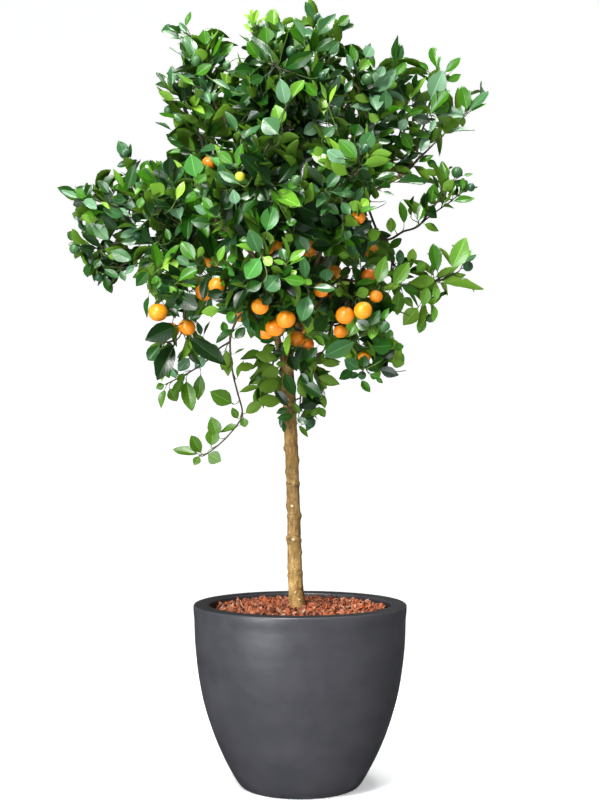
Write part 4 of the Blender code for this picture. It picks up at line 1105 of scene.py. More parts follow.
def lay_crown(tips):
    pts, nrm, own = sample_shell(16000)
    grid = {}

    def key(p, cell=0.05):
        return tuple(np.floor(np.array(p) / cell).astype(int))
    for c, rad in tips:
        grid.setdefault(key(c), []).append((*c, rad))

    def free(p, r):
        kx, ky, kz = key(p)
        for dx in (-1, 0, 1):
            for dy in (-1, 0, 1):
                for dz in (-1, 0, 1):
                    for q in grid.get((kx + dx, ky + dy, kz + dz), ()):
                        lim = min(r, q[3])
                        if (q[0] - p[0]) ** 2 + (q[1] - p[1]) ** 2 + (q[2] - p[2]) ** 2 < lim * lim:
                            return False
        return True
    made = []
    for p, n, o in zip(pts, nrm, own):
        if o in ("hanging_mid", "hanging_tip", "hanging_side"):
            continue
        P, N = Vector(p), Vector(n)
        hit = ALL.ray_cast(P + N * 0.0012, N, 0.30)
        if hit[0] is not None:
            inwards = N.dot(P - CROWN_MID) < 0.15 * (P - CROWN_MID).length
            if inwards or hit[3] < 0.045:
                continue
        back = MASS[o]["tree"].ray_cast(P - N * 0.001, -N, 0.5)
        thick = back[3] if back[0] is not None else 0.06
        thin = thick < 0.085
        tip = P - N * min(0.030, 0.42 * thick)
        r = 0.027 if thin else 0.031
        if P.y > 0.06:
            r = 0.035
        if not free(tip, r) or not in_view(tip, 0.0):
            continue
        out = Vector((P.x - CROWN_MID.x, P.y - CROWN_MID.y, 0.0))
        out = out.normalized() if out.length > 1e-6 else Vector((0, -1, 0))
        h = min(max((P.z - 0.80) / 0.45, 0.0), 1.0)
        lift = 0.10 + 1.05 * h
        if o.startswith(("droop", "hanging")):
            lift = -0.5
        if o in ("tuft_left", "tuft_right"):
            lift = -0.25
        d = N * 0.50 + out * 0.35 + Vector((0, 0, lift)) + Vector(rng.normal(0, 0.22, 3))
        d.normalize()
        grid.setdefault(key(tip), []).append((*tip, 1.0))
        made.append((tip, d, o, N))
    # nearest the middle first, so that the outer shoots grow from the inner ones
    inner = []
    for name in MASS_NAMES:
        m = MASS[name]
        size = m["hi"] - m["lo"]
        tries = int(700 * size.prod() / 0.01) + 10
        for _ in range(tries):
            p = Vector(m["lo"] + size * rng.random(3))
            loc, nn, _i, dist = m["tree"].find_nearest(p)
            if (p - loc).dot(nn) > 0 or dist < 0.027:
                continue
            if free(p, 0.038):
                grid.setdefault(key(p), []).append((*p, 1.0))
                dd = (p - CROWN_MID).normalized() * 0.6 + Vector((0, 0, 0.6)) + Vector(rng.normal(0, 0.35, 3))
                inner.append((p, dd.normalized(), name, None))
    jobs = inner + made
    jobs.sort(key=lambda j: (Vector(j[0]) - Vector((-0.03, 0, 0.93))).length)
    print("shoots", len(made), "inner", len(inner))
    for tip, d, o, N in jobs:
        kind, size, n = dress(tip, o, N is None)
        attach(tip, d, dict(kind=kind, n=n, size=size, mass=o, inner=N is None), reach=0.16)


def dress(tip, mass, inner):
    """Which leaves a shoot gets, by where it stands: painted light and shade, with darker kinds in the shaded centre,
    on the left and inside, and more blue and pale (painted sheen) ones high up on the lit right.
    """
    x = rng.random()
    z = tip.z
    if mass == "spray_right_low":
        kind = "fresh" if x < 0.66 else "mid"
    elif mass in ("droop_left", "arm_left", "arm_left_low"):
        kind = "dark" if x < 0.8 else "mid"
    elif mass in ("tuft_left", "tuft_right", "crown_low_right"):
        kind = "mid" if x < 0.5 else ("dark" if x < 0.85 else "fresh")
    elif z > 1.13 and tip.x > 0.02 and tip.y < 0.16:
        kind = "dark" if x < 0.20 else ("mid" if x < 0.46 else ("blue" if x < 0.80 else ("pale" if x < 0.93 else "fresh")))
    elif z > 1.25:
        kind = "dark" if x < 0.42 else ("mid" if x < 0.64 else ("blue" if x < 0.92 else "fresh"))
    elif tip.x < -0.18:
        kind = "dark" if x < 0.72 else ("blue" if x < 0.84 else ("mid" if x < 0.97 else "fresh"))
    elif -0.14 < tip.x < 0.055:
        kind = "dark" if x < 0.78 else ("blue" if x < 0.87 else ("mid" if x < 0.97 else "fresh"))
    else:
        kind = "dark" if x < 0.52 else ("blue" if x < 0.73 else ("mid" if x < 0.93 else "fresh"))
    if mass in ("tuft_left", "tuft_right") or mass.startswith("hanging"):
        kind = "olive" if x < 0.6 else "dark"
    # painted sheen: a few pale leaves high up
    elif z > 1.15 and x > 0.955:
        kind = "pale"
    # painted shade: the inner shoots get the deepest and dark leaves
    if inner:
        kind = "deep" if x < 0.55 else "dark"
    size = rng.uniform(0.82, 1.12)
    n = int(rng.integers(8, 12))
    if inner:
        n = int(rng.integers(7, 11))
    return kind, size, n


# ------------------------------------------------------------------ fruit
# ripe fruit that show in the photo: place, radius in pixels, how deep it sits.
# The ones in CLEAR hang in front of the leaves, and leaves half hide the others.
CLEAR = {(158, 312), (187, 327), (275, 327), (286, 319), (345, 315), (363, 310), (376, 296)}
RIPE = [
    (158, 312, 9.8, 0.000), (187, 327, 8.8, 0.006), (171, 330, 8.4, 0.034), (204, 292, 8.8, 0.020),
    (217, 285, 8.6, 0.026), (260, 306, 8.8, 0.018), (275, 327, 9.8, 0.002), (286, 319, 9.6, 0.010),
    (266, 331, 8.6, 0.022), (296, 338, 8.8, 0.020), (306, 344, 8.2, 0.026), (345, 315, 9.5, 0.004),
    (363, 310, 9.3, 0.004), (341, 331, 7.4, 0.014), (376, 296, 6.8, 0.012), (371, 250, 7.6, 0.018),
    (369, 275, 7.4, 0.020), (334, 272, 7.8, 0.026), (321, 290, 7.6, 0.030), (274, 247, 8.2, 0.026),
    (358, 217, 7.6, 0.026), (364, 357, 6.6, 0.052), (209, 163, 7.2, 0.040),
]
GREEN = [
    (169, 110), (125, 153), (227, 65), (316, 18), (291, 51), (322, 76), (367, 79), (334, 110), (365, 148),
    (302, 39), (259, 28), (296, 180), (457, 172), (471, 187), (354, 261), (468, 266), (430, 318), (384, 326),
    (325, 308), (167, 216), (75, 248), (99, 277), (138, 235), (232, 318), (362, 375), (310, 422), (240, 176),
    (236, 244), (196, 60), (214, 96),
    (274, 357),
]
FRUIT = []           # centre, radius, kind, axis of the stalk, seen from the front


def lay_fruit():
    for px, py, r, sink in RIPE:
        c = surface_at(px, py, sink)
        if px < 200:
            c = at(px, py, -0.06 + sink)
        if (px, py) in ((296, 338), (306, 344)):
            c = at(px, py, -0.040)
        k = (CAM_DIST + c.y) / CAM_DIST
        FRUIT.append((c, r * PIXEL * k, "ripe", (px, py) in CLEAR))
    for i, (px, py) in enumerate(GREEN):
        c = surface_at(px, py, 0.006)
        out = c.x < -0.235 or c.x > 0.20 or c.z > 1.37 or c.z < 0.80
        if out:
            c = at(px, py, -0.004)
        k = (CAM_DIST + c.y) / CAM_DIST
        kind = "turning" if i in (26, 27) else "green"
        FRUIT.append((c, (5.2 + 0.9 * math.sin(i * 2.3)) * PIXEL * k, kind, True))
    # more of both kinds round the sides and the back, the ripe ones low down
    pts, nrm, own = sample_shell(2600)
    extra_ripe, extra_green = 0, 0
    for p, n, o in zip(pts, nrm, own):
        P, N = Vector(p), Vector(n)
        if o.startswith("hanging") or ALL.ray_cast(P + N * 0.0012, N, 0.12)[0] is not None:
            continue
        c = P - N * rng.uniform(0.006, 0.020)
        # the camera's side already has its own
        eye = Vector((0.0, -CAM_DIST, CAM_Z))
        way = (c - eye).normalized()
        hit = ALL.ray_cast(eye, way)
        sx, sy = seen(c)
        front = hit[0] is None or (c - hit[0]).length < 0.14 or abs(P.x) > 0.30 or P.y < 0.03
        front = front or math.hypot(sx - 386, sy - 211) < 34 or (sx > 340 and sy > 290) or sx < 190
        if any((c - f[0]).length < (0.050 if c.y > 0 else 0.036) for f in FRUIT):
            continue
        if not front and extra_ripe < 34 and 0.82 < P.z < 1.13 and rng.random() < 0.5:
            FRUIT.append((c, rng.uniform(0.0145, 0.0175), "ripe", False))
            extra_ripe += 1
        elif not front and extra_green < 34 and P.z > 0.95 and rng.random() < 0.35:
            FRUIT.append((c, rng.uniform(0.0085, 0.0115), "green", False))
            extra_green += 1
        if extra_ripe >= 34 and extra_green >= 34:
            break
    stalks = []
    for c, r, kind, vis in FRUIT:
        lean = Vector((rng.normal(0, 0.18), rng.normal(0, 0.18), 1.0)).normalized()
        if kind == "green":
            lean = Vector((rng.normal(0, 0.5), rng.normal(0, 0.5), rng.uniform(-0.9, 0.7)))
            lean = lean.normalized() if lean.length > 0.2 else Vector((0, 0, -1))
        top = c + lean * r * 0.93
        stub = top + lean * (0.004 if kind == "green" else 0.006)
        ids = attach(stub, -lean, dict(kind="fruit", n=0, size=1.0, bare=True), reach=0.14, open_to=0.3,
                     step=0.008, wob=0.002)
        ids2 = SK.add([stub.lerp(top, 0.5), top - lean * r * 0.04], ids[-1], 0.0)
        SHOOTS[-1][0].extend(ids2)
        stalks.append(lean)
    return stalks


def peel(name, color, scale=1.0):
    m, t, b = material(name, color, 0.36, 0.5, 0.15, 0.2)
    vec = coords(t)
    v = t.nodes.new("ShaderNodeTexVoronoi")
    v.inputs["Scale"].default_value = 900.0 * scale
    t.links.new(vec, v.inputs["Vector"])
    pores = map_range(t, v.outputs["Distance"], 0.0, 0.6, 0.0, 1.0)
    broad = noise_tex(t, vec, 90.0, 3.0)
    first = add_bump(t, b, broad, 0.15, 0.002)
    add_bump(t, b, pores, 0.35, 0.00035, first)
    return m


def build_fruit(stalks):
    ripe = [peel("peel_orange", srgb(220, 127, 10)), peel("peel_deep_orange", srgb(214, 112, 8)),
            peel("peel_yellow_orange", srgb(223, 141, 14))]
    green = [peel("peel_green", srgb(58, 98, 52), 1.4), peel("peel_deep_green", srgb(42, 82, 50), 1.4),
             peel("peel_turning", srgb(172, 172, 40), 1.4)]
    cal, _t, _b = material("calyx", srgb(88, 112, 50), 0.6, 0.4)
    rings, around = 17, 24
    th = np.linspace(0, math.pi, rings)
    ph = np.arange(around) * 2 * math.pi / around

    def ball(r, rr):
        # flattened a little at both ends, with a dimple round the stalk
        base = np.ones((rings, around))
        prof = 1 - 0.075 * np.exp(-(th / 0.28) ** 2) - 0.030 * np.exp(-((math.pi - th) / 0.25) ** 2)
        ribs = 0.010 * np.cos(ph * 5 + rr.uniform(0, 6))[None, :] * np.exp(-((th - 0.45) / 0.35) ** 2)[:, None]
        rad = base * prof[:, None] + ribs + 0.008 * rr.normal(0, 1) * np.cos(ph + rr.uniform(0, 6))[None, :] * np.sin(th)[:, None]
        x = rad * np.sin(th)[:, None] * np.cos(ph)
        y = rad * np.sin(th)[:, None] * np.sin(ph)
        z = rad * np.cos(th)[:, None] * 0.93
        return np.stack([x, y, z], -1).reshape(-1, 3) * r
    i, j = np.meshgrid(np.arange(rings - 1), np.arange(around), indexing="ij")
    jj = (j + 1) % around
    q = np.stack([i * around + j, (i + 1) * around + j, (i + 1) * around + jj, i * around + jj], -1).reshape(-1, 4)
    for group, kinds, mats, slot in (("fruit_ripe", ("ripe",), ripe, "fruit_ripe"),
                                     ("fruit_green", ("green", "turning"), green, "fruit_green")):
        verts, quads, idx, count = [], [], [], 0
        mats = mats + [cal]
        for (c, r, kind, _), lean in zip(FRUIT, stalks):
            if kind not in kinds:
                continue
            rr = np.random.default_rng(int(abs(c.x) * 1e6) % 99991)
            rot = np.array(lean.to_track_quat("Z", "Y").to_matrix())
            v = ball(r, rr) @ rot.T + np.array(c)
            verts.append(v)
            quads.append(q + count)
            m = 2 if kind == "turning" else (int(rr.choice(3, p=[0.5, 0.2, 0.3])) if group == "fruit_ripe" else int(rr.integers(0, 2)))
            idx.append(np.full(len(q), m))
            count += len(v)
            # calyx: a five-pointed button under the stalk
            k = 10
            a = np.arange(k) * 2 * math.pi / k
            rad = np.where(np.arange(k) % 2 == 0, 0.0030, 0.0017) * (r / 0.016) ** 0.5
            lo = np.stack([rad * np.cos(a), rad * np.sin(a), np.full(k, r * 0.93 * 0.925 - 0.0002)], -1)
            hi = np.stack([rad * 0.6 * np.cos(a), rad * 0.6 * np.sin(a), np.full(k, r * 0.93 * 0.925 + 0.0011)], -1)
            v = np.concatenate([lo, hi]) @ rot.T + np.array(c)
            qq = np.stack([np.arange(k), (np.arange(k) + 1) % k, (np.arange(k) + 1) % k + k, np.arange(k) + k], -1)
            verts.append(v)
            quads.append(qq + count)
            idx.append(np.full(k, len(mats) - 1))
            count += len(v)
        obj = mesh_object(group, np.concatenate(verts), [np.concatenate(quads)], mats, np.concatenate(idx))
        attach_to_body(obj, "root")


# ------------------------------------------------------------------ wood mesh
def wood_radii():
    """The thickness of each point from the tips that it feeds."""
    n = len(SK.pos)
    kids = [0] * n
    tips = np.zeros(n)
    for i in range(n):
        if SK.parent[i] >= 0:
            kids[SK.parent[i]] += 1
    for i in range(n):
        if kids[i] == 0:
            tips[i] = 1
    for i in range(n - 1, -1, -1):
        if SK.parent[i] >= 0:
            tips[SK.parent[i]] += tips[i]
    r = 0.00085 * np.maximum(tips, 1) ** 0.30
    return r, tips


def build_wood(bark):
    r, tips = wood_radii()
    n = len(SK.pos)
    # chains: from each point that starts one, follow the child that feeds most
    kids = {}
    for i in range(n):
        kids.setdefault(SK.parent[i], []).append(i)
    main = {}
    for p, ks in kids.items():
        if p >= 0:
            main[p] = max(ks, key=lambda k: (tips[k], -k))
    trunk_ids = set(LIMB["trunk"][1])
    hanging = set()
    for sids, info in SHOOTS:
        if info.get("hangs") or info["kind"] == "deep" and info.get("named"):
            hanging.update(sids)
    starts = []
    for p, ks in kids.items():
        for k in ks:
            if p < 0 or main.get(p) != k:
                starts.append(k)
    groups = {"boughs": [], "twigs": []}
    for s in starts:
        chain = [s]
        while chain[-1] in main:
            chain.append(main[chain[-1]])
        if SK.parent[s] >= 0:
            chain = [SK.parent[s]] + chain
        if s in trunk_ids or SK.parent[s] < 0:
            chain = [i for i in chain if i not in trunk_ids]
            if len(chain) < 2:
                continue
            chain = [LIMB["trunk"][1][-1]] + chain
        rad = np.array([r[i] for i in chain])
        if chain[len(chain) // 2] in hanging:
            rad = np.maximum(rad, np.linspace(0.0020, 0.0011, len(rad)))
        first = rad[1] if len(rad) > 1 else rad[0]
        if s not in trunk_ids:
            rad[0] = min(rad[0], first * 1.35)
        if chain[0] == LIMB["trunk"][1][-1] and SK.parent[s] < 0:
            rad = np.minimum(rad, LEADER_R)
        rad = np.minimum(rad, 0.0056)
        if len(rad) > 3:
            k = np.convolve(np.pad(rad, 1, mode="edge"), [0.25, 0.5, 0.25], mode="valid")
            k[0] = rad[0]
            rad = k
        groups["boughs" if rad[1:].max() > 0.0019 else "twigs"].append((chain, rad))
    twig_mats = []
    for name, c in (("twig_green", (54, 76, 34)), ("twig_brown", (58, 54, 34)), ("twig_young", (88, 118, 48))):
        m, t, b = material(name, srgb(*c), 0.55, 0.4)
        g = noise_tex(t, coords(t, (1, 1, 1)), 600.0, 3.0)
        add_bump(t, b, g, 0.4, 0.0006)
        twig_mats.append(m)
    # the boughs' bark, much darker than the stem's: the bark's colour with painted shade of the crown
    bough_mat, t, b = material("bough_bark_painted_shade", srgb(84, 71, 45), 0.7, 0.3)
    g = noise_tex(t, coords(t, (1, 1, 0.5)), 210.0, 5.0, 0.65)
    t.links.new(ramp(t, g, [(0.35, srgb(48, 43, 27)), (0.5, srgb(84, 71, 45)), (0.66, srgb(120, 101, 68))]),
                b.inputs["Base Color"])
    add_bump(t, b, g, 0.6, 0.0014)
    pos = np.array(SK.pos)
    for gname, chains in groups.items():
        verts, quads, idx, caps, count = [], [], [], [], 0
        sides = 12 if gname == "boughs" else 6
        mats = [bough_mat] + twig_mats
        for chain, rad in chains:
            p = pos[chain]
            if gname == "boughs" and len(p) > 2:      # finer along its length
                m = len(p)
                f = np.linspace(0, m - 1, (m - 1) * 3 + 1)
                i0 = np.clip(f.astype(int), 0, m - 2)
                u = (f - i0)[:, None]
                a = p[np.clip(i0 - 1, 0, m - 1)]
                b_, c_, d_ = p[i0], p[i0 + 1], p[np.clip(i0 + 2, 0, m - 1)]
                p = 0.5 * ((2 * b_) + (c_ - a) * u + (2 * a - 5 * b_ + 4 * c_ - d_) * u ** 2
                           + (3 * b_ - a - 3 * c_ + d_) * u ** 3)
                rad = np.interp(f, np.arange(m), rad)
                bumpy = np.array([noise.noise(Vector(q * 90)) for q in p])
                rad = rad * (1 + 0.10 * bumpy)
            m = len(p)
            d = np.gradient(p, axis=0)
            d /= np.maximum(np.linalg.norm(d, axis=1), 1e-9)[:, None]
            up = np.array([0.31, 0.87, 0.38])
            ring = []
            ang = np.arange(sides) * 2 * math.pi / sides
            ref = up - d[0] * (up @ d[0])
            ref /= np.linalg.norm(ref)
            for k in range(m):
                ref = ref - d[k] * (ref @ d[k])
                ref /= max(np.linalg.norm(ref), 1e-9)
                w = np.cross(d[k], ref)
                rk = rad[k] if k < m - 1 else rad[k] * 0.55
                ring.append(p[k] + rk * (np.cos(ang)[:, None] * ref + np.sin(ang)[:, None] * w))
            verts.append(np.concatenate(ring))
            i, j = np.meshgrid(np.arange(m - 1), np.arange(sides), indexing="ij")
            jj = (j + 1) % sides
            qq = np.stack([i * sides + j, i * sides + jj, (i + 1) * sides + jj, (i + 1) * sides + j], -1).reshape(-1, 4)
            quads.append(qq + count)
            seg = np.repeat(rad[:-1], sides)
            if gname == "boughs":
                mi = np.where(seg > 0.0024, 0, 2)
            else:
                tag = (chain[-1] * 7919) % 10
                mi = np.where(seg > 0.00135, 2, 1 if tag < 7 else 3)
            idx.append(mi)
            caps.append(np.arange(sides)[::-1][None, :] + count)
            caps.append((m - 1) * sides + np.arange(sides)[None, :] + count)
            count += m * sides
        ncap = len(caps)
        index = np.concatenate(idx + [np.full(ncap, 1)])
        obj = mesh_object(gname, np.concatenate(verts), [np.concatenate(quads), np.concatenate(caps)], mats, index)
        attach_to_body(obj, "root")
        if gname == "boughs":
            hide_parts(*[x for x in NODES if x.startswith("bough_")])
        else:
            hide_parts("hanging_twig_upper", "hanging_twig_lower", "hanging_twig_side")
        print(gname, len(obj.data.polygons))


# ------------------------------------------------------------------ leaves
STATIONS = np.array([0.0, 0.10, 0.22, 0.38, 0.56, 0.74, 0.89, 1.0])
COLS = np.array([-1.0, -0.52, -0.035, 0.035, 0.52, 1.0])


def leaf_templates(count):
    """Leaves of one outline, folded, arched and waved each in its own way."""
    out = []
    r = np.random.default_rng(77)
    m, nc = len(STATIONS), len(COLS)
    v = np.clip((STATIONS - 0.10) / 0.90, 0, 1)
    for k in range(count):
        # widest at the middle or beyond it, the end more or less blunt
        ea, eb = r.uniform(0.78, 1.04), r.uniform(0.84, 1.16)
        f = v ** ea * (1 - v) ** eb
        pk = ea / (ea + eb)
        f /= pk ** ea * (1 - pk) ** eb
        flat = k >= 10
        fold = math.radians(r.uniform(10, 36) if not flat else r.uniform(6, 18))
        arch = math.radians(r.uniform(-12, 48) if not flat else r.uniform(-8, 16))
        wave, phase = r.uniform(0.0, 0.035), r.uniform(0, 6.28)
        cup = r.uniform(-0.10, 0.16)
        tw = math.radians(r.uniform(-22, 22) if not flat else r.uniform(-8, 8))
        bias = r.uniform(-0.06, 0.06)
        sway = r.uniform(-0.05, 0.05)
        pts = []
        y = z = 0.0
        prev = 0.0
        for i, u in enumerate(STATIONS):
            du = u - prev
            a = math.radians(10) - arch * (u ** 1.3)
            y += du * math.cos(a)
            z += du * math.sin(a)
            prev = u
            half = max(0.5 * f[i], 0.014 if u > 0.5 else 0.034)
            fo = fold * (1 - 0.45 * u)
            row = []
            for s in COLS:
                w = half * (1 + bias * np.sign(s))
                lat = s * w * math.cos(fo)
                up = abs(s) * w * math.sin(fo) - cup * abs(s) ** 1.3 * w * 0.5
                up += wave * abs(s) ** 1.3 * math.sin(u * 7.0 + phase + (1.3 if s > 0 else 0)) * (half * 2)
                t = tw * u
                la, ua = lat * math.cos(t) - up * math.sin(t), lat * math.sin(t) + up * math.cos(t)
                row.append((la + sway * u * u, y - ua * math.sin(a), z + ua * math.cos(a)))
            t = tw * u
            drop = -0.011 - 0.014 * min(1.0, half * 4)
            row.append((sway * u * u - drop * math.sin(t), y - drop * math.cos(t) * math.sin(a),
                        z + drop * math.cos(t) * math.cos(a)))
            pts.append(row)
        out.append(np.array(pts).reshape(-1, 3))
    per = nc + 1
    top, rib, under, uvs = [], [], [], []
    for i in range(m - 1):
        a, b = i * per, (i + 1) * per
        for j in range(nc - 1):
            quad = (a + j, a + j + 1, b + j + 1, b + j)
            (rib if j == 2 else top).append(quad)
        under.append((a, b, b + nc, a + nc))
        under.append((a + nc, b + nc, b + nc - 1, a + nc - 1))
    quads = np.array(top + rib + under)
    kind = np.array([0] * len(top) + [1] * len(rib) + [2] * len(under))
    ends = np.array([[5, 4, 3, 2, 1, 0, nc],
                     [(m - 1) * per + x for x in (0, 1, 2, 3, 4, 5, nc)]])
    for i, u in enumerate(STATIONS):
        for s in COLS:
            uvs.append(((s + 1) / 2, u))
        uvs.append((0.5, u))
    return np.array(out), quads, kind, ends, np.array(uvs)


KINDS = {  # upper side, under side
    "dark": [(("leaf_dark", (23, 66, 8)), ("leaf_under_dark", (70, 106, 20)))],
    # painted shade: the deepest kind, darker than any leaf, for leaves in the crown's shade
    "deep": [(("leaf_deep_painted_shade", (9, 38, 4)), ("leaf_under_dark", (70, 106, 20)))],
    "blue": [(("leaf_blue", (52, 96, 50)), ("leaf_under_blue", (82, 118, 40)))],
    "mid": [(("leaf_mid", (54, 108, 12)), ("leaf_under_mid", (80, 120, 22)))],
    "fresh": [(("leaf_fresh", (92, 142, 38)), ("leaf_under_fresh", (108, 150, 40)))],
    "lime": [(("leaf_lime", (124, 170, 50)), ("leaf_under_lime", (140, 182, 58)))],
    "bright": [(("leaf_bright", (66, 130, 50)), ("leaf_under_fresh", (108, 150, 40)))],
    "olive": [(("leaf_olive", (60, 96, 14)), ("leaf_under_olive", (74, 104, 20)))],
    # painted sheen: the pale kind stands for the gloss's bluish reflection
    "pale": [(("leaf_pale_painted_sheen", (94, 134, 98)), ("leaf_under_blue", (82, 118, 40)))],
}
LEAF_LENGTH = 0.0525


def build_leaves():
    temps, quads, qkind, ends, uvs = leaf_templates(16)
    per = temps.shape[1]
    mats, slot = [], {}

    def get(name, color, rough, veins, spec, coat):
        if name not in slot:
            slot[name] = len(mats)
            mats.append(leaf_material(name, srgb(*color), rough, veins, spec, coat))
        return slot[name]
    table = {}
    for k, ((up, un),) in KINDS.items():
        dull = k in ("deep", "olive", "pale")
        ui = get(up[0], up[1], 0.36 if dull else 0.28, 0.55, 0.30 if dull else 0.42, 0.10 if dull else 0.24)
        ni = get(un[0], un[1], 0.60, 0.45, 0.22, 0.0)
        rib = tuple(min(255, int(c * 1.2 + 26)) for c in up[1])
        ri = get(up[0] + "_rib", rib, 0.42, 0.1, 0.5, 0.0)
        table[k] = (ui, ri, ni)
    centres = np.array([MASS[n]["centre"] for n in MASS_NAMES])
    fruit_c = np.array([f[0] for f in FRUIT])
    fruit_r = np.array([f[1] for f in FRUIT])
    eye = np.array([0.0, -CAM_DIST, CAM_Z])
    shown = [(np.array(f[0]), f[1]) for f in FRUIT if f[3]]
    single_xy = np.array([seen(b.lerp(t, 0.5)) for b, t, _w, _k, _u in SINGLES])
    single_y = np.array([b.lerp(t, 0.5).y for b, t, _w, _k, _u in SINGLES])
    base, axes, normals, length, width, temp, kinds = [], [], [], [], [], [], []
    r = np.random.default_rng(9)
    up = Vector((0, 0, 1))
    dropped = 0
    for ids, info in SHOOTS:
        if info["n"] == 0:
            continue
        pts = [Vector(SK.pos[i]) for i in ids]
        par = SK.parent[ids[0]]
        if par >= 0:
            pts = [Vector(SK.pos[par])] + pts
        seg = [0.0]
        for a, b in zip(pts[:-1], pts[1:]):
            seg.append(seg[-1] + (b - a).length)
        total = seg[-1]
        gap = r.uniform(0.0080, 0.0105)
        n = int(min(info["n"], max(5, round(total / gap) + 1)))
        gap = min(gap, total / n * 0.98)
        phase = r.uniform(0, 360)
        hang = info.get("hang") or info.get("mass", "").startswith(("droop", "tuft", "hanging"))
        tipz = pts[-1].z
        base_kind = info["kind"]
        for k in range(n):
            s = total - k * gap - (0.0 if k else 0.001)
            if s < 0.004 and k > 1:
                break
            s = max(s, 0.0)
            i = max(0, min(int(np.searchsorted(seg, s)) - 1, len(pts) - 2))
            f = (s - seg[i]) / max(seg[i + 1] - seg[i], 1e-9)
            p = pts[i].lerp(pts[i + 1], f)
            d = (pts[i + 1] - pts[i]).normalized()
            phi = math.radians(phase + 137.5 * k + r.normal(0, 12))
            e1 = d.orthogonal().normalized()
            e2 = d.cross(e1)
            rad = e1 * math.cos(phi) + e2 * math.sin(phi)
            age = k / max(n - 1, 1)
            th = math.radians(24 + 36 * age ** 0.8 + r.normal(0, 8))
            if k == 0:
                th = math.radians(r.uniform(6, 22))
            a = (d * math.cos(th) + rad * math.sin(th))
            if hang:
                a = (a + Vector((0, 0, -0.75))).normalized()
            else:
                low = min(max((1.10 - p.z) / 0.30, 0.0), 1.0)
                a = (a + Vector((0, 0, 0.06 - 0.42 * low - 0.10 * age))).normalized()
            nrm = d * math.sin(th) - rad * math.cos(th)
            out = Vector((p.x - CROWN_MID.x, p.y - CROWN_MID.y, 0.0))
            out = out.normalized() if out.length > 1e-5 else Vector((0, -1, 0))
            away = np.array(p) - centres
            away = Vector(away[int(np.argmin((away ** 2).sum(1)))])
            away = away.normalized() if away.length > 1e-5 else out
            light = up * 0.58 + out * 0.25 + away * 0.60 + Vector(r.normal(0, 0.28, 3))
            nrm = nrm * 0.45 + light * 0.80
            nrm = nrm - a * nrm.dot(a)
            if nrm.length < 1e-3:
                nrm = a.orthogonal()
            nrm.normalize()
            size = LEAF_LENGTH * info["size"] * (0.62 + 0.50 * min(1.0, (k + 0.8) / 4.0)) * r.uniform(0.88, 1.12)
            if info.get("inner"):
                size *= 0.95
            if p.z > 1.10:
                size *= 1.06
            tip = p + a * size
            mid = p + a * size * 0.55
            M = np.array(mid)
            # leave the fruit whole, and in view where the photo shows it
            dd = np.linalg.norm(fruit_c - M, axis=1) - fruit_r
            dt = np.linalg.norm(fruit_c - np.array(tip), axis=1) - fruit_r
            if dd.min() < 0.006 or dt.min() < 0.002:
                dropped += 1
                continue
            if not in_view(tip, -1.0) or not in_view(mid, -2.0):
                dropped += 1
                continue
            sx, sy = seen(mid)
            over = np.hypot(single_xy[:, 0] - sx, single_xy[:, 1] - sy) < 6.5
            if (over & (single_y > mid.y - 0.004)).any():
                dropped += 1
                continue
            hide = False
            for c, fr in shown:
                ray = eye - c
                L = np.linalg.norm(ray)
                ray = ray / L
                for q in (M, np.array(tip), np.array(p)):
                    w = q - c
                    t = w @ ray
                    if 0.0 < t < 0.30 and np.linalg.norm(w - ray * t) < fr * 0.50 + 0.003:
                        hide = True
                        break
                if hide:
                    break
            if hide:
                dropped += 1
                continue
            # nothing grows through the stem
            if mid.z < 0.80:
                ax = trunk_axis(mid.z)
                if (Vector((mid.x, mid.y)) - Vector((ax.x, ax.y))).length < 0.020:
                    continue
            kind = base_kind
            # painted shade: dark leaves turn deepest more often in the shaded centre and on the left, less often high
            # up
            shade = 0.74 if (-0.14 < p.x < 0.06 and p.z < 1.27) or p.x < -0.18 else (0.25 if p.z > 1.15 else 0.45)
            if kind == "dark" and r.random() < shade:
                kind = "deep"
            if kind in ("dark", "mid", "blue") and age < 0.3 and r.random() < 0.10:
                kind = "fresh"
            if kind == "fresh" and k < 2 and r.random() < 0.5:
                kind = "lime"
            base.append(tuple(p))
            axes.append(tuple(a))
            normals.append(tuple(nrm))
            length.append(size)
            high = min(max((p.z - 1.00) / 0.20, 0.0), 1.0)
            width.append((r.uniform(0.36, 0.49) - 0.05 * high) * size)
            temp.append(int(r.integers(0, 10)))
            kinds.append(kind)
    grown = len(base)
    toward = Vector((0.0, -1.0, -0.02))
    for i, (b0, t0, w, kind, under) in enumerate(SINGLES):
        a = t0 - b0
        size = a.length * 1.03
        a.normalize()
        full = max(w, min(0.40, 0.18 + 0.9 * w / size) * size)
        roll = math.acos(min(1.0, w / full))
        n0 = toward - a * toward.dot(a)
        n0.normalize()
        if under:
            n0 = -n0
        s0 = a.cross(n0)
        up_side = 1.0 if s0.z > 0 else -1.0
        n0 = n0 * math.cos(roll) + s0 * math.sin(roll) * up_side
        base.append(tuple(b0))
        axes.append(tuple(a))
        normals.append(tuple(n0))
        length.append(size)
        width.append(full * 1.04)
        temp.append(10 + i % (len(temps) - 10))
        kinds.append(kind)
    print("grown", grown, "single", len(base) - grown)
    base, axes, normals = np.array(base), np.array(axes), np.array(normals)
    length, width, temp = np.array(length), np.array(width), np.array(temp)
    side = np.cross(axes, normals)
    n = len(base)
    print("leaves", n, "dropped", dropped)
    T = temps[temp]
    V = (T[:, :, 0:1] * width[:, None, None] * side[:, None, :]
         + T[:, :, 1:2] * length[:, None, None] * axes[:, None, :]
         + T[:, :, 2:3] * length[:, None, None] * normals[:, None, :]) + base[:, None, :]
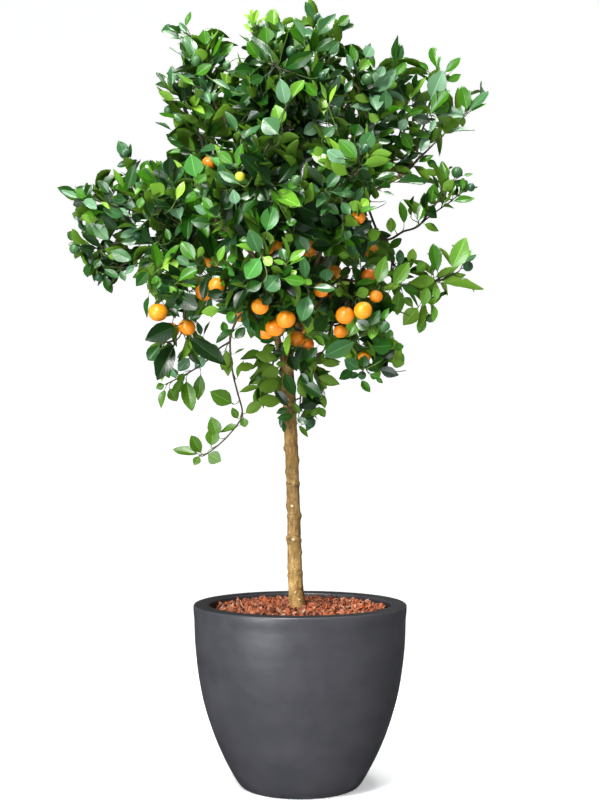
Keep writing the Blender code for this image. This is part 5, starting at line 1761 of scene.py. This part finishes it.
    # a single leaf's tip stands just where it is named, whatever its arch
    last = (len(STATIONS) - 1) * (len(COLS) + 1) + len(COLS) // 2
    for i, (b0, t0, _w, _k, _u) in enumerate(SINGLES, start=grown):
        miss = V[i][last] - np.array(t0)
        along = np.clip(((V[i] - base[i]) @ axes[i]) / length[i], 0.0, 1.0)
        V[i] -= along[:, None] * miss[None, :]
    # which piece a leaf joins: the mass that it stands nearest to
    mid = V.mean(1)
    near = np.argmin(((mid[:, None, :] - centres[None, :, :]) ** 2).sum(2), axis=1)
    zones = {}
    for k, name in enumerate(MASS_NAMES):
        c = MASS[name]["centre"]
        if name.startswith("hanging") or c.z < 0.90:
            zone = "leaves_low"
        elif c.y > 0.10:
            zone = "leaves_back"
        elif c.z > 1.19:
            zone = "leaves_top"
        else:
            zone = "leaves_middle"
        zones.setdefault(zone, []).append(k)
    m = len(STATIONS)
    nc = len(COLS) + 1
    for zone, ks in zones.items():
        pick = np.where(np.isin(near, ks))[0]
        v = V[pick].reshape(-1, 3)
        off = (np.arange(len(pick)) * per)[:, None, None]
        qs = (quads[None] + off).reshape(-1, 4)
        es = (ends[None] + off).reshape(-1, ends.shape[1])
        tab = np.array([table[kinds[i]] for i in pick])
        qi = tab[:, qkind].reshape(-1)
        ei = np.repeat(tab[:, 2], 2)

        def sharp(ev):
            a, b = ev[:, 0] % per, ev[:, 1] % per
            ca, cb = a % nc, b % nc
            return ((ca == 0) & (cb == 0)) | ((ca == nc - 2) & (cb == nc - 2))
        obj = mesh_object(zone, v, [qs, es], mats, np.concatenate([qi, ei]), np.tile(uvs, (len(pick), 1)),
                          sharp=sharp)
        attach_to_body(obj, "root")
        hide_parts(*[MASS_NAMES[k] for k in ks])
        print(zone, len(pick), "leaves,", len(pick) * (len(quads) * 2 + 10), "triangles")


# ------------------------------------------------------------------ studio
def area(name, loc, look, size, power, color=(1, 1, 1), size_y=None):
    d = bpy.data.lights.new(name, "AREA")
    d.energy = power
    d.color = color
    d.size = size
    if size_y:
        d.shape = "RECTANGLE"
        d.size_y = size_y
    o = bpy.data.objects.new(name, d)
    o.location = loc
    o.rotation_euler = (Vector(look) - Vector(loc)).to_track_quat("-Z", "Y").to_euler()
    bpy.context.scene.collection.objects.link(o)
    return o


def studio():
    floor_mat, t, b = material("floor_white", (0.92, 0.92, 0.92), 0.9, 0.0)
    b.inputs["Emission Color"].default_value = (1, 1, 1, 1)
    b.inputs["Emission Strength"].default_value = 0.40
    wall_mat, t, b = material("backdrop_white", (0.92, 0.92, 0.92), 0.9, 0.0)
    b.inputs["Emission Color"].default_value = (1, 1, 1, 1)
    b.inputs["Emission Strength"].default_value = 0.72
    # floor and backdrop, one wide round dish
    floor = spin("floor", [(0.001, 0.0), (2.0, 0.0), (3.2, 0.0)], 96, [floor_mat])
    wall = [(3.2, 0.0), (4.5, 0.0), (6.0, 0.0)]
    wall += [(6.0 + 3.0 * math.sin(a), 3.0 - 3.0 * math.cos(a)) for a in np.linspace(0.1, math.pi / 2, 14)]
    wall += [(9.0, 6.0), (9.0, 9.0)]
    dish = spin("backdrop", wall, 96, [wall_mat])
    for o in (floor, dish):
        o.data.flip_normals()
        o.visible_glossy = False
    dish.visible_diffuse = False
    world = bpy.data.worlds.new("studio")
    bpy.context.scene.world = world
    world.use_nodes = True
    t = world.node_tree
    bg = t.nodes["Background"]
    # a soft sky: bright overhead and dim from below
    tc = t.nodes.new("ShaderNodeTexCoord")
    sep = t.nodes.new("ShaderNodeSeparateXYZ")
    t.links.new(tc.outputs["Generated"], sep.inputs[0])
    up = map_range(t, sep.outputs[2], -0.5, 1.0, 0.0, 1.0)
    t.links.new(ramp(t, up, [(0.0, (0.10, 0.10, 0.10)), (0.33, (0.32, 0.33, 0.34)), (0.62, (0.60, 0.63, 0.66)),
                             (1.0, (0.95, 0.98, 1.0))]), bg.inputs[0])
    bg.inputs[1].default_value = 0.33
    area("key", (-1.0, -2.38, 2.9), (0, 0, 0.85), 0.8, 168, (1.0, 0.99, 0.97))
    area("side", (-1.85, -2.35, 0.62), (0, 0, 0.2), 1.3, 68, (0.92, 0.95, 1.0), 0.95)
    area("top", (0.5, 0.0, 3.3), (0, 0, 1.0), 1.1, 92)
    cam = bpy.data.cameras.new("camera")
    cam.lens = CAM_F * 36.0 / 800.0
    cam.sensor_width = 36.0
    cam.sensor_fit = "AUTO"
    cam.clip_start = 0.05
    o = bpy.data.objects.new("camera", cam)
    o.location = (0.0, -CAM_DIST, CAM_Z)
    cam.shift_y = 29.0 / 800.0
    o.rotation_euler = (math.pi / 2, 0.0, 0.0)
    bpy.context.scene.collection.objects.link(o)
    bpy.context.scene.camera = o
    bpy.context.scene.view_settings.view_transform = "Standard"
    bpy.context.scene.view_settings.look = "None"


# ------------------------------------------------------------------ all together
build_planter()
build_fill()
bark = bark_material()
build_stem(bark)
lay_limbs()
tips = lay_shoots()
lay_crown(tips)
stalks = lay_fruit()
build_wood(bark)
build_fruit(stalks)
build_leaves()
studio()

bpy.context.view_layer.update()
